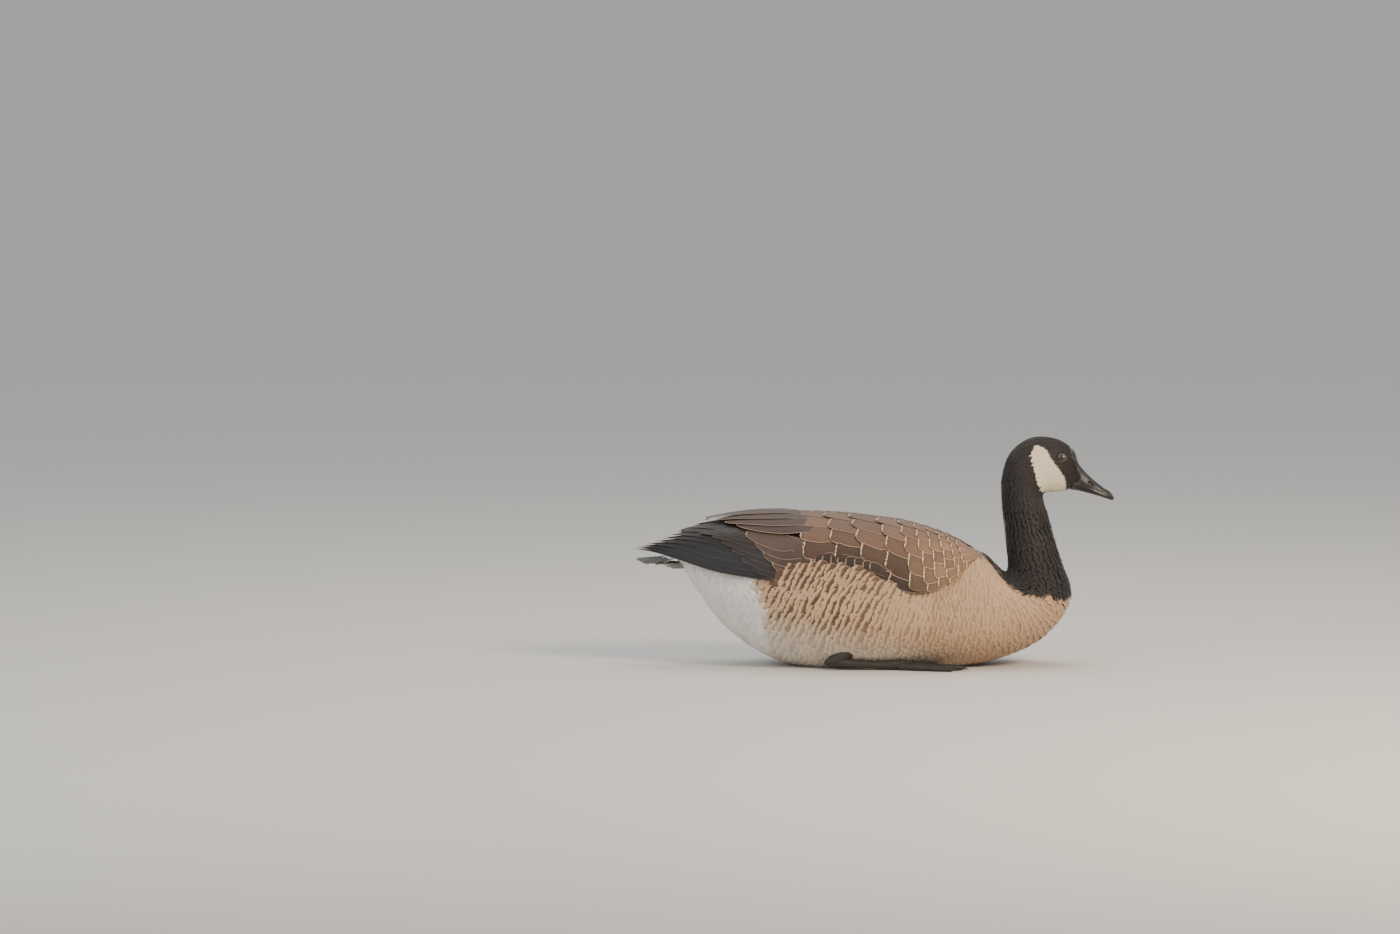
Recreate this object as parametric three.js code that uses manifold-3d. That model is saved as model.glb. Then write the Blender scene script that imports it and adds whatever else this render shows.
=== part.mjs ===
// A life-size Canada goose, still, in the pose of a bird afloat on calm water: neck up, wings folded, feet tucked
// under. It rests on the flat of its belly.
// Millimetres. +X is towards the bill, +Y is the bird's left, +Z is up, and z = 0 is the plane that it rests on.
import * as THREE from "three";
import { mergeVertices } from "three/addons/utils/BufferGeometryUtils.js";
import Module from "manifold-3d";

const wasm = await Module();
wasm.setup();

// Clearance kept between neighbouring pieces.
const GAP = 0.35;

// Body stations, from the root of the tail to the tip of the bill. Each is a flat slice across the bird:
//   dorsal, ventral  its two ends in the midplane, [x, z]
//   half             half of its width
//   wide             share of the way from dorsal to ventral where it is widest
//   full             1 for an ellipse, less for a squarer slice
const STATIONS = {
  tailRoot: { dorsal: [-207, 139], ventral: [-205, 113], half: 21, wide: 0.55, full: 0.95 },
  vent: { dorsal: [-166, 153], ventral: [-160, 49], half: 46, wide: 0.5, full: 0.95 },
  loin: { dorsal: [-112, 162], ventral: [-106, 10], half: 74, wide: 0.52, full: 0.92 },
  midBody: { dorsal: [-50, 166], ventral: [-48, -5], half: 89, wide: 0.53, full: 0.9 },
  back: { dorsal: [15, 161], ventral: [22, -7], half: 92, wide: 0.53, full: 0.9 },
  shoulder: { dorsal: [68, 150], ventral: [88, -5], half: 87, wide: 0.55, full: 0.9 },
  mantle: { dorsal: [112, 135], ventral: [150, 4], half: 76, wide: 0.57, full: 0.92 },
  crop: { dorsal: [145, 120], ventral: [206, 27], half: 64, wide: 0.56, full: 0.95 },
  breast: { dorsal: [165, 107], ventral: [239, 63], half: 51, wide: 0.52, full: 0.98 },
  neckRoot: { dorsal: [170.5, 112], ventral: [242, 91], half: 40, wide: 0.5, full: 1 },
  lowNeck: { dorsal: [169.5, 130], ventral: [233, 117], half: 32, wide: 0.5, full: 1 },
  midNeck: { dorsal: [166.5, 157], ventral: [221, 156], half: 27, wide: 0.5, full: 1 },
  topNeck: { dorsal: [163, 190], ventral: [213, 186], half: 24.5, wide: 0.5, full: 1 },
  nape: { dorsal: [163, 217], ventral: [211, 196], half: 23.5, wide: 0.52, full: 1 },
  occiput: { dorsal: [173, 245], ventral: [212.5, 197.5], half: 23, wide: 0.55, full: 1 },
  crown: { dorsal: [197, 262], ventral: [217, 198.7], half: 22.5, wide: 0.56, full: 0.98 },
  brow: { dorsal: [226, 260.5], ventral: [229, 199.6], half: 21.5, wide: 0.55, full: 0.95 },
  lore: { dorsal: [245, 248], ventral: [241, 201.5], half: 17.5, wide: 0.56, full: 0.95 },
  billRoot: { dorsal: [252, 231.5], ventral: [250, 200.8], half: 13.2, wide: 0.55, full: 0.92 },
  nostril: { dorsal: [263, 218.5], ventral: [262, 197.8], half: 11.6, wide: 0.6, full: 0.9 },
  billFront: { dorsal: [277, 206.5], ventral: [275, 194.2], half: 10.2, wide: 0.6, full: 0.88 },
  nail: { dorsal: [287.5, 199], ventral: [286, 190.6], half: 7.6, wide: 0.58, full: 0.9 },
  billTip: { dorsal: [291.4, 193.6], ventral: [290.4, 189.6], half: 3, wide: 0.5, full: 1 },
};
const NAMES = Object.keys(STATIONS);
const AROUND = 28; // points round each slice

// The flank line, where the folded wing lies on the body: height of the wing's lower edge at each x.
const FLANK_LINE = curveOf([
  [-264, 133], [-240, 129], [-210, 119.5], [-169, 107], [-132, 101], [-95, 98], [-61, 108], [-20, 111],
  [12, 105], [40, 92], [70, 87], [95, 96], [118, 112], [138, 124],
]);
// The wing's ridge beside the midline, its half width and its distance from the midline, at each x.
const WING_TOP = curveOf([
  [-264, 137.5], [-225, 151.5], [-180, 164], [-145, 171], [-106, 174.5], [-58, 175], [-27, 174], [12, 170],
  [50, 164.5], [90, 152.5], [118, 140], [138, 130],
]);
const WING_HALF = curveOf([
  [-264, 9], [-225, 29], [-180, 48], [-132, 66], [-95, 79], [-50, 90], [0, 95], [40, 94.5], [75, 88], [95, 80],
  [110, 69], [122, 56], [138, 33],
]);
const WING_INNER = curveOf([[-264, 1], [-100, 1], [0, 3], [60, 8], [110, 16], [138, 26]]);
const WING_FRONT = 134;
const WING_ARM_END = -214; // where the flesh of the folded wing ends, between the long feathers
const WING_SQUARE = 0.88; // below 1, the wing's slice is squarer than an ellipse
const POCKET = 8; // how far the body is drawn in above the flank line, for the wing to lie in
const POCKET_LIP = 9; // height over which it is drawn in

// Smooth curve through [x, value] pairs in order of x, as a function of x.
function curveOf(pairs) {
  const slope = (i) => {
    const a = pairs[Math.max(i - 1, 0)];
    const b = pairs[Math.min(i + 1, pairs.length - 1)];
    return (b[1] - a[1]) / (b[0] - a[0]);
  };
  return (x) => {
    const last = pairs.length - 2;
    const i = Math.min(Math.max(pairs.findIndex((p) => p[0] > x) - 1, 0), last);
    const k = x >= pairs[last + 1][0] ? last : i;
    const [x0, v0] = pairs[k];
    const [x1, v1] = pairs[k + 1];
    const span = x1 - x0;
    const t = THREE.MathUtils.clamp((x - x0) / span, 0, 1);
    const rise = t * t * (3 - 2 * t);
    const bulge = t * (1 - t) * (1 - t) * slope(k) - t * t * (1 - t) * slope(k + 1);
    return v0 + (v1 - v0) * rise + bulge * span;
  };
}

const splineOf = (points) => new THREE.CatmullRomCurve3(points, false, "catmullrom", 0.5);
const stationList = Object.values(STATIONS);
const dorsalLine = splineOf(stationList.map((s) => new THREE.Vector3(s.dorsal[0], 0, s.dorsal[1])));
const ventralLine = splineOf(stationList.map((s) => new THREE.Vector3(s.ventral[0], 0, s.ventral[1])));
const sliceForm = splineOf(stationList.map((s) => new THREE.Vector3(s.half, s.wide, s.full)));
const placeOf = (name) => NAMES.indexOf(name) / (NAMES.length - 1);

const signedPower = (value, power) => Math.sign(value) * Math.abs(value) ** power;
const smoothStep = (value, from, to) => THREE.MathUtils.smoothstep(value, from, to);

// The ring of points of the slice at t, 0 at the tail root and 1 at the bill tip.
function slice(t) {
  const top = dorsalLine.getPoint(t);
  const bottom = ventralLine.getPoint(t);
  const { x: half, y: wide, z: full } = sliceForm.getPoint(t);
  const down = bottom.clone().sub(top);
  const ring = [];
  for (let i = 0; i < AROUND; i++) {
    const angle = (2 * Math.PI * i) / AROUND;
    const fall = -signedPower(Math.cos(angle), full);
    const share = wide + fall * (fall < 0 ? wide : 1 - wide);
    const point = top.clone().addScaledVector(down, share);
    point.y = half * signedPower(Math.sin(angle), full);
    ring.push(settled(pocketed(point, half)));
  }
  return ring;
}

// The body drawn in above the flank line, as deep as the wing there.
function pocketed(point, half) {
  const along = smoothStep(point.x, -250, -150) * (1 - smoothStep(point.x, 100, 140));
  const above = smoothStep(point.z, FLANK_LINE(point.x), FLANK_LINE(point.x) + POCKET_LIP);
  point.y -= POCKET * along * above * (point.y / half);
  return point;
}

// Nothing reaches below the floor, which leaves the belly its small flat.
function settled(point) {
  point.z = Math.max(point.z, 0);
  return point;
}

// A closed geometry from rings of equal count, each end capped by a fan, with its faces turned outwards.
function throughRings(rings) {
  const count = rings[0].length;
  const points = rings.flat();
  const faces = [];
  const at = (ring, i) => ring * count + (i % count);
  for (let r = 0; r + 1 < rings.length; r++)
    for (let i = 0; i < count; i++) {
      // The diagonal is mirrored on the far half, so a ring alike on both sides gives a skin alike on both sides.
      const [a, b, c, d] = [at(r, i), at(r + 1, i), at(r + 1, i + 1), at(r, i + 1)];
      if (i < count / 2) faces.push([a, b, c], [a, c, d]);
      else faces.push([a, b, d], [b, c, d]);
    }
  for (const r of [0, rings.length - 1]) {
    const middle = rings[r].reduce((sum, p) => sum.add(p), new THREE.Vector3()).divideScalar(count);
    points.push(middle);
    for (let i = 0; i < count; i++) {
      const fan = [points.length - 1, at(r, i), at(r, i + 1)];
      faces.push(r === 0 ? fan : fan.reverse());
    }
  }
  return closedFrom(points, faces);
}

// A geometry from points and triangles, turned outwards by the sign of its volume.
function closedFrom(points, faces) {
  const cross = new THREE.Vector3();
  const volume = faces.reduce(
    (sum, [a, b, c]) => sum + cross.crossVectors(points[b], points[c]).dot(points[a]), 0);
  const geometry = new THREE.BufferGeometry().setFromPoints(points);
  geometry.setIndex(faces.flatMap(([a, b, c]) => (volume > 0 ? [a, b, c] : [a, c, b])));
  return geometry;
}

// Each point of a closed geometry moved out along its normal.
function grown(geometry, distance) {
  const copy = geometry.clone();
  copy.computeVertexNormals();
  const place = copy.attributes.position;
  const normal = copy.attributes.normal;
  for (let i = 0; i < place.count; i++)
    place.setXYZ(
      i,
      place.getX(i) + normal.getX(i) * distance,
      place.getY(i) + normal.getY(i) * distance,
      place.getZ(i) + normal.getZ(i) * distance,
    );
  copy.deleteAttribute("normal");
  return copy;
}

function solidFrom(geometry) {
  const bare = geometry.clone();
  bare.deleteAttribute("normal");
  bare.deleteAttribute("uv");
  const merged = mergeVertices(bare, 1e-4);
  return new wasm.Manifold(
    new wasm.Mesh({
      numProp: 3,
      vertProperties: merged.attributes.position.array,
      triVerts: new Uint32Array(merged.index.array),
    }),
  );
}

// The largest closed surface of a solid, as a geometry.
function geometryFrom(solid) {
  const body = solid.decompose().reduce((best, one) => (one.volume() > best.volume() ? one : best));
  const { vertProperties, triVerts, numProp } = body.getMesh();
  const place = new Float32Array((vertProperties.length / numProp) * 3);
  for (let i = 0; i < place.length / 3; i++)
    place.set(vertProperties.subarray(i * numProp, i * numProp + 3), i * 3);
  return new THREE.BufferGeometry()
    .setAttribute("position", new THREE.BufferAttribute(place, 3))
    .setIndex(new THREE.BufferAttribute(triVerts, 1));
}

// A length of the body between two stations. Its first slice is moved forward by the gap.
function lengthOfBody(from, to, slices, firstGap = GAP) {
  const t0 = placeOf(from);
  const t1 = placeOf(to);
  const rings = [];
  for (let i = 0; i <= slices; i++) rings.push(slice(t0 + ((t1 - t0) * i) / slices));
  const [a, b, c] = [rings[0][0], rings[0][AROUND / 4], rings[0][AROUND / 2]];
  const across = b.clone().sub(a).cross(c.clone().sub(a)).normalize();
  const ahead = across.dot(rings[1][0].clone().sub(a)) > 0 ? firstGap : -firstGap;
  rings[0].forEach((p) => p.addScaledVector(across, ahead));
  return throughRings(rings);
}

// A prism across the whole bird from an outline in the midplane.
function acrossMidplane(outline, halfWidth = 60) {
  const shape = new THREE.Shape(outline.map(([x, z]) => new THREE.Vector2(x, z)));
  const prism = new THREE.ExtrudeGeometry(shape, { depth: 2 * halfWidth, bevelEnabled: false });
  prism.rotateX(Math.PI / 2);
  prism.translate(0, halfWidth, 0);
  return solidFrom(prism);
}

// Folded wing

// Point of the left wing's coat: x, v from 0 at the ridge to 1 at the lower edge, and height above the coat.
function wingPoint(x, v, height = 0) {
  const on = (px, pv) => {
    const angle = (1 - pv) * (Math.PI / 2);
    const inner = WING_INNER(px);
    return new THREE.Vector3(
      px,
      inner + (WING_HALF(px) - inner) * signedPower(Math.cos(angle), WING_SQUARE),
      FLANK_LINE(px) + (WING_TOP(px) - FLANK_LINE(px)) * signedPower(Math.sin(angle), WING_SQUARE),
    );
  };
  const point = on(x, v);
  const step = 0.01;
  const alongX = on(x + 1, v).sub(on(x - 1, v));
  const alongV = on(x, v + step).sub(on(x, v - step));
  const outward = alongX.cross(alongV).normalize();
  if (outward.y + outward.z < 0) outward.negate();
  return point.addScaledVector(outward, height);
}

// The flesh and small coverts of the folded wing, which the long feathers grow from.
const WING_STEPS = 13;
const WING_LANES = 5;
const WING_COAT = -1.3; // height of its surface, under the backs of the vanes
function wingForm() {
  const rings = [];
  for (let i = 0; i <= WING_STEPS; i++) {
    const x = WING_FRONT + ((WING_ARM_END - WING_FRONT) * i) / WING_STEPS;
    const inner = -THREE.MathUtils.lerp(2.6, 15, smoothStep(x, -205, -110));
    const upper = [];
    const lower = [];
    for (let j = 0; j <= WING_LANES; j++) {
      const v = j / WING_LANES;
      upper.push(wingPoint(x, v, WING_COAT));
      lower.unshift(wingPoint(x, v, inner));
    }
    rings.push([...upper, ...lower]);
  }
  return throughRings(rings);
}

// Feathers

// A generator of numbers from 0 to 1 that is the same on each run.
function seeded(seed) {
  let state = seed;
  return () => {
    state = (Math.imul(state, 1664525) + 1013904223) >>> 0;
    return state / 2 ** 32;
  };
}

const VANE_THICK = 0.7;
const VANE_RACHIS = 0.35; // how far the quill stands above the web
// Share of the full half width at shares of the length.
const VANE_SHAPE = [[0, 0.5], [0.4, 1], [0.86, 0.86], [1, 0.25]];
// A closed vane. place(s, u) is a point on its underside, s from root to tip and u from -1 to 1 across it,
// and lift(s, u) is the way out of that side.
function vane(place, lift, pointed = 0) {
  const rings = VANE_SHAPE.map(([s, share]) => {
    const narrow = share * (1 - pointed * s * s);
    const across = [-narrow, 0, narrow];
    const thick = VANE_THICK * (1 - 0.5 * s ** 6);
    const under = across.map((u) => place(s, u));
    const over = across.map((u, i) => {
      const ridge = i === 1 ? VANE_RACHIS * (1 - s) : 0;
      return place(s, u).addScaledVector(lift(s, u), thick + ridge);
    });
    return [...over, ...under.reverse()];
  });
  return solidFrom(throughRings(rings));
}

// A vane that lies along the folded wing. root and tip are [x, v], half is half its width, rise is how far
// it climbs from root to tip, and its lower edge lies out over the feather below it by roll.
const SUNK = 3.6; // depth of a root under the coat
const CLEAR = 0.4; // share of its length at which a vane has come out of the coat
function wingVane({ root, tip, half, rise, roll = 1, bow = 0, pointed = 0 }) {
  const spot = (s, u) => {
    const x = THREE.MathUtils.lerp(root[0], tip[0], s);
    const middle = THREE.MathUtils.lerp(root[1], tip[1], s) + bow * s * (1 - s);
    const girth = wingPoint(x, 0.1).distanceTo(wingPoint(x, 0.9)) * 1.45;
    const v = THREE.MathUtils.clamp(middle + (u * half) / girth, -0.02, 1.06);
    const height = s < CLEAR ? -SUNK * (1 - s / CLEAR) : (rise * (s - CLEAR)) / (1 - CLEAR);
    return [x, v, height + roll * u * s];
  };
  const place = (s, u) => wingPoint(...spot(s, u));
  const lift = (s, u) => {
    const [x, v, height] = spot(s, u);
    return wingPoint(x, v, height + 1).sub(wingPoint(x, v, height));
  };
  return vane(place, lift, pointed);
}

// The tiers of the wing, from the longest feathers up to the scapulars on the shoulder.
const PRIMARIES = { count: 6, rootX: -92, rootV: [0.98, 0.62], tips: [-263, -202], tipV: [0.86, 0.3], half: 8.5 };
const SECONDARIES = { count: 4, rootX: -38, rootV: [0.97, 0.6], tips: [-122, -196], tipV: [0.98, 0.5], half: 10 };
const TERTIALS = { count: 3, rootX: -50, rootV: [0.5, 0.12], tips: [-150, -178], tipV: [0.5, 0.14], half: 17 };
const SCAPULARS = { rows: 4, columns: 5, first: -80, pitch: 37, long: 62, vTop: 0.13, vBottom: 0.87, half: 17 };
const spread = ([from, to], i, count) => THREE.MathUtils.lerp(from, to, i / (count - 1));

function wingVanes() {
  const chance = seeded(41);
  const stray = (by) => by * (chance() - 0.5);
  const vanes = [];
  const tier = ({ count, rootX, rootV, tips, tipV, half }, extra) => {
    for (let i = 0; i < count; i++)
      vanes.push(
        wingVane({
          root: [rootX + stray(6), spread(rootV, i, count)],
          tip: [spread(tips, i, count) + stray(3), spread(tipV, i, count)],
          half: half * (1 + stray(0.1)),
          ...extra,
        }),
      );
  };
  tier(PRIMARIES, { rise: 0.2, roll: 0.5, pointed: 0.45 });
  tier(SECONDARIES, { rise: 1, roll: 0.7, pointed: 0.1 });
  tier(TERTIALS, { rise: 2.4, roll: 0.9, pointed: 0.1 });
  const { rows, columns, first, pitch, long, vTop, vBottom, half } = SCAPULARS;
  for (let column = 0; column < columns; column++)
    for (let row = 0; row < rows; row++) {
      const x = first + pitch * (column + (row % 2) / 2) + stray(5);
      const v = spread([vBottom, vTop], row, rows);
      const scale = WING_HALF(x) / 95;
      const slant = 0.05;
      vanes.push(
        wingVane({
          root: [Math.min(x + long * scale, WING_FRONT - 6), v - slant],
          tip: [x, v + slant + stray(0.03)],
          half: half * scale * (1 + stray(0.12)),
          rise: 1.6 + stray(0.6),
          roll: 0.8,
        }),
      );
    }
  return vanes;
}

// Legs and feet, of the left side

// A tube along a path of [x, y, z] points, with a radius at each, resting on the floor where it reaches it.
const TUBE_SIDES = 8;
function tube(path, radii, grow = 0) {
  const line = new THREE.CatmullRomCurve3(path.map((p) => new THREE.Vector3(...p)));
  const last = path.length - 1;
  const rings = path.map((place, i) => {
    const ahead = line.getTangent(i / last);
    const across = new THREE.Vector3(0, 0, 1).cross(ahead).normalize();
    const upward = ahead.clone().cross(across);
    const ring = [];
    for (let k = 0; k < TUBE_SIDES; k++) {
      const angle = (2 * Math.PI * k) / TUBE_SIDES;
      const point = new THREE.Vector3(...place);
      point.addScaledVector(across, (radii[i] + grow) * Math.cos(angle));
      point.addScaledVector(upward, (radii[i] + grow) * Math.sin(angle));
      if (i === 0) point.addScaledVector(ahead, -grow);
      if (i === last) point.addScaledVector(ahead, grow);
      point.z = Math.max(point.z, -grow);
      ring.push(point);
    }
    return ring;
  });
  return solidFrom(throughRings(rings));
}

const HEEL = [-32, 66, 10];
const TOE_JOINT = [46, 68, 6.5];
const SHANK = [[16, 60, 44], [-8, 62, 28], [-24, 65, 15], HEEL, [-38, 66.5, 8.5]];
const TARSUS = [HEEL, [-5, 67, 7], [25, 67.5, 6], TOE_JOINT];
const leg = (grow = 0) => tube(SHANK, [14, 11, 8.5, 6.8, 4], grow).add(tube(TARSUS, [6.4, 4.6, 4.4, 5.6], grow));
const TOES = {
  inner: { path: [[46, 66, 5], [66, 62, 4.2], [88, 57, 3.2]], radii: [4.8, 4, 2.9] },
  middle: { path: [TOE_JOINT, [70, 70, 4.6], [94, 72, 3.8], [114, 73, 3.1]], radii: [5.6, 4.6, 3.8, 2.9] },
  outer: { path: [[46, 70, 5], [66, 78, 4.2], [86, 85, 3.6], [102, 89, 2.9]], radii: [4.8, 4, 3.4, 2.7] },
  hind: { path: [[41, 63, 7.5], [34, 60, 5.2], [28, 58, 3.4]], radii: [3.6, 2.8, 2.1] },
};
const WEB = [[52, 68], [66, 61], [84, 59], [92, 63], [112, 72], [104, 81], [98, 87], [84, 84], [66, 79]];
const WEB_THICK = 2.2;
function web(grow) {
  const shape = new THREE.Shape(WEB.map(([x, y]) => new THREE.Vector2(x, y)));
  const depth = WEB_THICK + 2 * grow;
  return solidFrom(new THREE.ExtrudeGeometry(shape, { depth, bevelEnabled: false }).translate(0, 0, -grow));
}
const foot = (grow = 0) =>
  Object.values(TOES).reduce((sum, toe) => sum.add(tube(toe.path, toe.radii, grow)), web(grow));

const CLAW_LONG = 8;
function claw({ path, radii }) {
  const end = new THREE.Vector3(...path.at(-1));
  const ahead = end.clone().sub(new THREE.Vector3(...path.at(-2))).normalize();
  const places = [GAP, CLAW_LONG * 0.6, CLAW_LONG].map((far, i) => {
    const p = end.clone().addScaledVector(ahead, far);
    return [p.x, p.y, Math.max(end.z - [0, 0.5, 1.6][i], 0.9)];
  });
  const thick = radii.at(-1);
  return tube(places, [thick * 0.8, thick * 0.5, 0.6]);
}

// Head, neck and torso

const torsoForm = lengthOfBody("tailRoot", "neckRoot", 24, 0);
const torsoGrown = solidFrom(grown(torsoForm, GAP));
const mirrored = (solid) => solid.mirror([0, 1, 0]);
const onSide = (solid, side) => (side > 0 ? solid : mirrored(solid));
const SIDES = { left: 1, right: -1 };

const torso = solidFrom(torsoForm).subtract(leg(GAP)).subtract(mirrored(leg(GAP)));

// The edge of the feathers at the bill, from above the culmen to the chin, [x, z].
const FEATHER_EDGE = [
  [244, 240], [249.5, 231.5], [251.5, 224], [254, 215.5], [250.5, 211.5], [245, 209.5], [243, 204], [241.5, 196],
];
const BILL_REACH = 320;
const headAndBill = solidFrom(lengthOfBody("topNeck", "billTip", 27));
const aheadOf = (edge, by) =>
  acrossMidplane([...edge.map(([x, z]) => [x + by, z]), [BILL_REACH, 190], [BILL_REACH, 245]]);

// The line of the mouth, from the corner of the gape to the tip, [x, z].
const GAPE = [[240, 210.5], [247, 207.4], [255, 205], [265, 201.8], [276, 198], [286, 193.6], [292, 190.8]];
const above = (line, by) =>
  acrossMidplane([...line.map(([x, z]) => [x, z + by]), [BILL_REACH, 180], [BILL_REACH, 250], [236, 250]]);
const NOSTRIL = { place: [265.4, 10.4, 209.6], long: 4.4, tall: 1.7, deep: 2.4, slope: 0.7 };
const nostrilHollow = () => {
  const hollow = new THREE.SphereGeometry(1, 8, 6);
  hollow.scale(NOSTRIL.long, NOSTRIL.deep, NOSTRIL.tall).rotateY(NOSTRIL.slope).translate(...NOSTRIL.place);
  return solidFrom(hollow);
};
const bill = headAndBill.intersect(aheadOf(FEATHER_EDGE, GAP));
const billUpper = bill
  .intersect(above(GAPE, GAP / 2))
  .subtract(nostrilHollow())
  .subtract(mirrored(nostrilHollow()));
const billLower = bill.subtract(above(GAPE, -GAP / 2));

const EYE = { place: [231.5, 13.4, 239.5], radius: 6.2 };
const LID = { place: [231.5, 17.9, 239.5], radius: 5.7, thick: 1.5, tall: 0.9, cant: 0.12 };
const eyeBall = (radius) => solidFrom(new THREE.SphereGeometry(radius, 12, 8).translate(...EYE.place));
function lids() {
  const ring = new THREE.TorusGeometry(LID.radius, LID.thick, 6, 14);
  ring.scale(1, LID.tall, 0.9).rotateX(Math.PI / 2).rotateZ(LID.cant).translate(...LID.place);
  return solidFrom(ring);
}
let head = headAndBill.subtract(aheadOf(FEATHER_EDGE, 0));
for (const side of Object.values(SIDES))
  head = head.add(onSide(lids(), side)).subtract(onSide(eyeBall(EYE.radius + GAP), side));

// Tail

const TAIL_CORE = [
  { x: -207.6, half: 18, middle: 124.5, deep: 9 },
  { x: -217, half: 20, middle: 123.5, deep: 5.5 },
  { x: -226, half: 18, middle: 122.6, deep: 2.2 },
];
const TAIL_AROUND = 20;
const TAIL = { count: 14, rootX: -211, rootHalf: 13, long: 46, outerShort: 5, fan: 0.4, half: 6.2 };
const TAIL_FALL = 0.06; // slope of the tail towards its tip
const CORE_ARCH = 2.4;
const TAIL_ARCH = 4.5; // how far the outer tail feathers lie below the middle ones
const TAIL_STEP = 0.45; // how far each feather lies under its inner neighbour

function tailCore() {
  const rings = TAIL_CORE.map(({ x, half, middle, deep }) => {
    const ring = [];
    for (let i = 0; i < TAIL_AROUND; i++) {
      const angle = (2 * Math.PI * i) / TAIL_AROUND;
      const y = half * Math.sin(angle);
      ring.push(new THREE.Vector3(x, y, middle + deep * Math.cos(angle) - CORE_ARCH * (y / half) ** 2));
    }
    return ring;
  });
  return solidFrom(throughRings(rings));
}

// Tail feather i, of which the middle pair lies on top.
function tailVane(i) {
  const { count, rootX, rootHalf, long, outerShort, fan, half } = TAIL;
  const share = (2 * i) / (count - 1) - 1;
  const angle = fan * share;
  const length = long - outerShort * share ** 2;
  const side = Math.sign(share);
  const place = (s, u) => {
    const far = length * s;
    const x = rootX - far * Math.cos(angle) - u * half * Math.sin(angle);
    const y = rootHalf * share + far * Math.sin(angle) - u * half * Math.cos(angle);
    const arch = TAIL_ARCH * share ** 2 * (0.4 + 0.6 * s);
    const z = 124 - TAIL_FALL * far - arch - TAIL_STEP * Math.abs(share) * count * 0.25;
    return new THREE.Vector3(x, y, z + 0.5 * u * side * s);
  };
  return vane(place, () => new THREE.Vector3(0, 0, 1));
}

function tailForm() {
  let tail = tailCore();
  for (let i = 0; i < TAIL.count; i++) tail = tail.add(tailVane(i));
  return geometryFrom(tail);
}

// Assembly

const goose = new THREE.Group();
const COATS = {
  blackFeather: { color: 0x17130f, roughness: 0.8 },
  brownFeather: { color: 0x7a6350, roughness: 0.85 },
  paleFeather: { color: 0xb79f88, roughness: 0.85 },
  tailFeather: { color: 0x14110f, roughness: 0.7 },
  bill: { color: 0x191818, roughness: 0.45 },
  eye: { color: 0x140d08, roughness: 0.1 },
  legSkin: { color: 0x1f1d1b, roughness: 0.6 },
  claw: { color: 0x0f0e0d, roughness: 0.4 },
};
function add(name, geometry, coat) {
  const mesh = new THREE.Mesh(geometry, new THREE.MeshStandardMaterial({ metalness: 0, ...COATS[coat] }));
  mesh.name = name;
  goose.add(mesh);
}

add("torso", geometryFrom(torso), "paleFeather");
add("neck", lengthOfBody("neckRoot", "topNeck", 7), "blackFeather");
add("head", geometryFrom(head), "blackFeather");
add("bill_upper", geometryFrom(billUpper), "bill");
add("bill_lower", geometryFrom(billLower), "bill");
add("tail", tailForm(), "tailFeather");

const wing = wingVanes()
  .reduce((sum, one) => sum.add(one), solidFrom(wingForm()))
  .subtract(torsoGrown)
  .trimByPlane([0, 1, 0], GAP);
const legAlone = leg().subtract(foot(GAP));
for (const [name, side] of Object.entries(SIDES)) {
  add(`eye_${name}`, geometryFrom(onSide(eyeBall(EYE.radius), side)), "eye");
  add(`wing_${name}`, geometryFrom(onSide(wing, side)), "brownFeather");
  add(`leg_${name}`, geometryFrom(onSide(legAlone, side)), "legSkin");
  add(`foot_${name}`, geometryFrom(onSide(foot(), side)), "legSkin");
  for (const [toe, form] of Object.entries(TOES))
    add(`claw_${toe}_${name}`, geometryFrom(onSide(claw(form), side)), "claw");
}

export default goose;
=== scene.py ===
# %% [markdown]
# # A Canada goose at rest
# The bird sits on its belly, neck up, wings folded, feet tucked in beside the belly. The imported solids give
# its size and place. This lesson dresses them: one skin under the whole body, thousands of small feathers
# over it, the big feathers of wing and tail one by one, then bill, eyes and feet.
# %% Load the frame
import math

import bpy
import numpy as np
from mathutils import Matrix


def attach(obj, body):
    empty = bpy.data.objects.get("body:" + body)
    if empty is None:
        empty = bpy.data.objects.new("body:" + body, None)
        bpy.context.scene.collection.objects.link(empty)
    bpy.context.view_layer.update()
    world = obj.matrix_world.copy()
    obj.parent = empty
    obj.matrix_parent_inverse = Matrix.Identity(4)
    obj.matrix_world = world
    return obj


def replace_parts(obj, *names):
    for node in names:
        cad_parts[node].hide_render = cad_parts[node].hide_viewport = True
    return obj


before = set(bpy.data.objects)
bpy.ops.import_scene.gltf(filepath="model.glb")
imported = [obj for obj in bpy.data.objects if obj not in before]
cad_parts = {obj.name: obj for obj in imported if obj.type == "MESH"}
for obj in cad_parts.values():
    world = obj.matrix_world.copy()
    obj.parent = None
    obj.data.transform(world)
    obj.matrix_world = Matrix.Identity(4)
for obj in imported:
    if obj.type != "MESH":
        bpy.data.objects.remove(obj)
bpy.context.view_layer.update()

# %% [markdown]
# ## Small tools
# Shapes are worked out in millimetres with numpy, a whole tract of feathers at a time, because a loop over
# single points would take minutes. A few functions turn such arrays into meshes, add nodes to a tree, and
# turn the hex colours of a paint chart into the linear light that Blender works in.
# %% Helpers for colours, nodes and materials
MM = 0.001


def linear(chart_colour):
    """An sRGB hex colour as linear red, green and blue."""
    parts = np.array([int(chart_colour[i:i + 2], 16) for i in (1, 3, 5)]) / 255
    return np.where(parts <= 0.04045, parts / 12.92, ((parts + 0.055) / 1.055) ** 2.4)


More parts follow.
